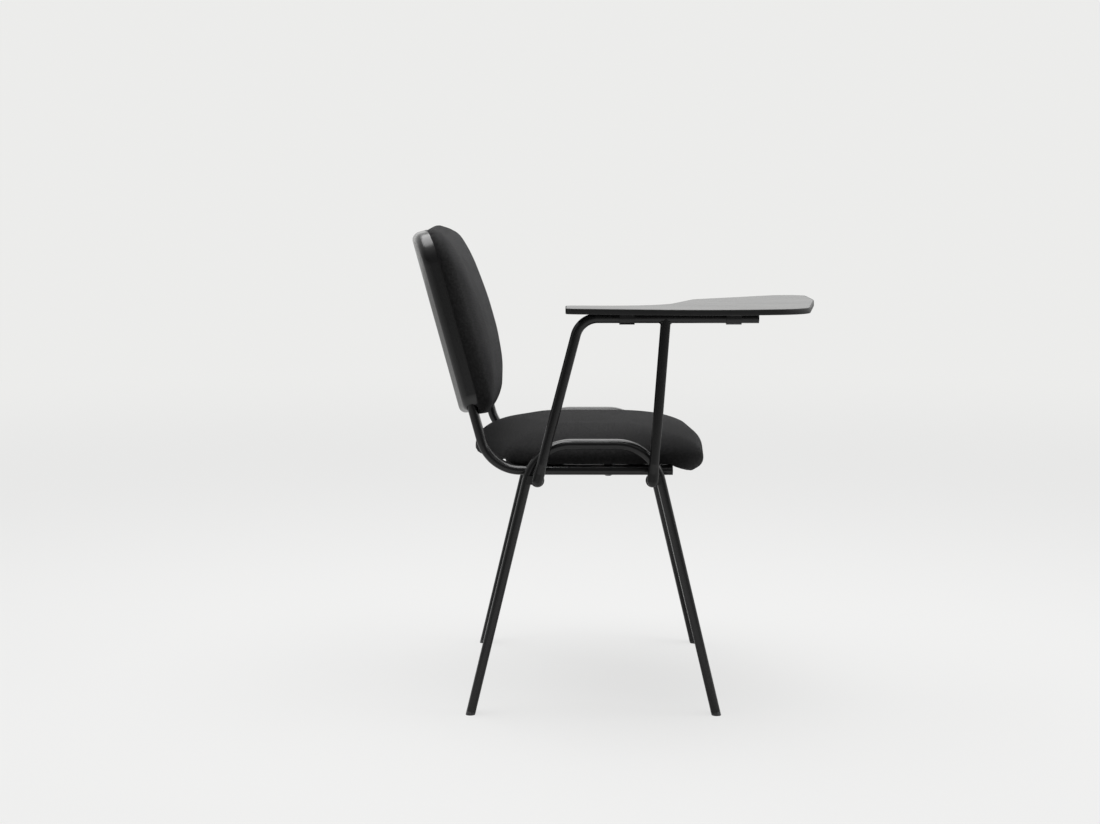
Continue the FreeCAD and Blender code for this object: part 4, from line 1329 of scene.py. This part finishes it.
@dataclass
class Studio:
    """Pale seamless floor, soft lamps and the camera at the photograph's angle."""

    floor_size: float = 24.0
    floor_cuts: int = 3
    floor_colour: Colour = (0.62, 0.62, 0.617)
    floor_rough: float = 0.75
    floor_gloss: float = 0.2
    floor_glow: Colour = (0.97, 0.97, 0.965)
    backdrop: Colour = (0.84, 0.84, 0.83)
    fade_from: float = 1.2
    fade_to: float = 6.5
    glow_share: float = 0.72
    mirror_share: float = 0.15
    ambient: float = 0.3
    pale_side: Point = (0.1, 0.72, 0.68)
    pale_from: float = -0.5
    pale_to: float = 0.75
    dim_share: float = 0.1
    lamps: tuple[SoftBox, ...] = (
        SoftBox("overhead_box", at=(-0.25, 0.1, 2.7), aim=(-0.1, 0.05, 0.4), size=(2.4, 2.6), power=76.0),
        SoftBox("front_box", at=(2.3, -0.35, 1.9), aim=(0.0, 0.05, 0.5), size=(1.2, 1.6), power=14.0))
    camera_at: Point = (-0.09165, -3.05527, 0.8)
    camera_tilt: float = 90.0 - 6.117
    camera_turn: float = 0.42
    lens: float = 58.61
    sensor: float = 36.0

    def floor(self) -> None:
        """Level floor that fades into the backdrop far from the chair."""
        floor = Bench.start("plane", size=self.floor_size)
        floor.name = "studio_floor"
        Bench.edit(floor)
        bpy.ops.mesh.subdivide(number_cuts=self.floor_cuts)
        Bench.clear()
        sheet = ShaderSheet("pale_floor")
        sheet.put({"Base Color": (*self.floor_colour, 1.0), "Roughness": self.floor_rough,
                   "Specular IOR Level": self.floor_gloss})
        reach = sheet.add("ShaderNodeVectorMath", operation="LENGTH")
        sheet.join(sheet.add("ShaderNodeTexCoord"), "Object", reach, 0)
        fade = sheet.add("ShaderNodeMapRange", {"From Min": self.fade_from, "From Max": self.fade_to},
                         interpolation_type="SMOOTHSTEP")
        sheet.join(reach, "Value", fade, "Value")
        far = (fade, "Result")
        glow = sheet.add("ShaderNodeEmission")
        sheet.join(*sheet.shades(far, [(0.0, self.floor_glow), (1.0, self.backdrop)]), glow, "Color")
        camera, mirrored = sheet.rays()
        seen = sheet.reckon("MAXIMUM", sheet.reckon("MULTIPLY", mirrored, self.mirror_share), camera)
        share = sheet.reckon("MULTIPLY", seen, sheet.spread(far, self.glow_share, 1.0))
        blend = sheet.add("ShaderNodeMixShader")
        for source, into in ((share, "Fac"), ((sheet.surface, "BSDF"), 1), ((glow, "Emission"), 2)):
            sheet.join(*source, blend, into)
        sheet.join(blend, "Shader", sheet.output, "Surface")
        floor.data.materials.append(sheet.material)

    def world(self) -> None:
        """Pale room whose light comes from above and behind; the eye sees its plain backdrop."""
        world = bpy.data.worlds.new("studio")
        bpy.context.scene.world = world
        sheet = NodeSheet(world)
        side = Vector(self.pale_side).normalized()
        lean = sheet.add("ShaderNodeVectorMath", {1: side}, operation="DOT_PRODUCT")
        sheet.join(sheet.add("ShaderNodeTexCoord"), "Generated", lean, 0)
        pale = sheet.add("ShaderNodeMapRange", {"From Min": self.pale_from, "From Max": self.pale_to,
                                                "To Min": self.dim_share, "To Max": 1.0},
                         interpolation_type="SMOOTHSTEP")
        sheet.join(lean, "Value", pale, "Value")
        camera, mirrored = sheet.rays()
        lit = sheet.reckon("MULTIPLY", sheet.reckon("MAXIMUM", mirrored, self.ambient), (pale, "Result"))
        room = sheet.add("ShaderNodeBackground", {"Color": (*self.backdrop, 1.0)})
        sheet.join(*sheet.reckon("MAXIMUM", lit, camera), room, "Strength")
        sheet.join(room, "Background", sheet.add("ShaderNodeOutputWorld"), "Surface")

    def camera(self) -> None:
        """Stand the camera where the photograph was taken."""
        data = bpy.data.cameras.new("photo_camera")
        data.sensor_fit = "HORIZONTAL"
        data.sensor_width = self.sensor
        data.lens = self.lens
        camera = bpy.data.objects.new("photo_camera", data)
        camera.location = self.camera_at
        camera.rotation_euler = (math.radians(self.camera_tilt), 0.0, math.radians(self.camera_turn))
        bpy.context.scene.collection.objects.link(camera)
        bpy.context.scene.camera = camera

    def build(self) -> None:
        """Set up floor, light and camera."""
        bpy.context.scene.view_settings.view_transform = "Standard"
        self.floor()
        self.world()
        for lamp in self.lamps:
            lamp.hang()
        self.camera()


def main() -> None:
    """Build and dress the chair, then light it."""
    logging.basicConfig(level=logging.INFO, format="%(message)s")
    palette = Palette()
    palette.dress_nodes()
    Cushion("seat_cushion", core_nodes=("seat_foam", "seat_board"), stands_for=("seat_foam", "seat_cover"),
            board_side=(0.0, 0.0, -1.0), hem=Hem("seat_dust_cloth")).build(palette)
    Cushion("back_cushion", core_nodes=("back_foam", "back_board"), stands_for=("back_foam", "back_cover"),
            board_side=(-0.965, 0.0, -0.262),
            presses=(Press(End.TOP, reach=36.0 * MM, depth=9.0 * MM),
                     Press(End.TOP, reach=230.0 * MM, depth=4.0 * MM),
                     Press(End.FOOT, reach=42.0 * MM, depth=17.0 * MM))).build(palette)
    EdgeBand().build(palette)
    PanScrews("saddle_screws", Body.TABLET, head=2.0 * MM, shank=1.8 * MM).build(palette)
    PanScrews("seat_bolts", Body.CHAIR, head=3.0 * MM, shank=3.0 * MM).build(palette)
    HexNuts().build(palette)
    WeldSeams().build(palette)
    Underlining().build(palette)
    Studio().build()


if __name__ == "__main__":
    main()
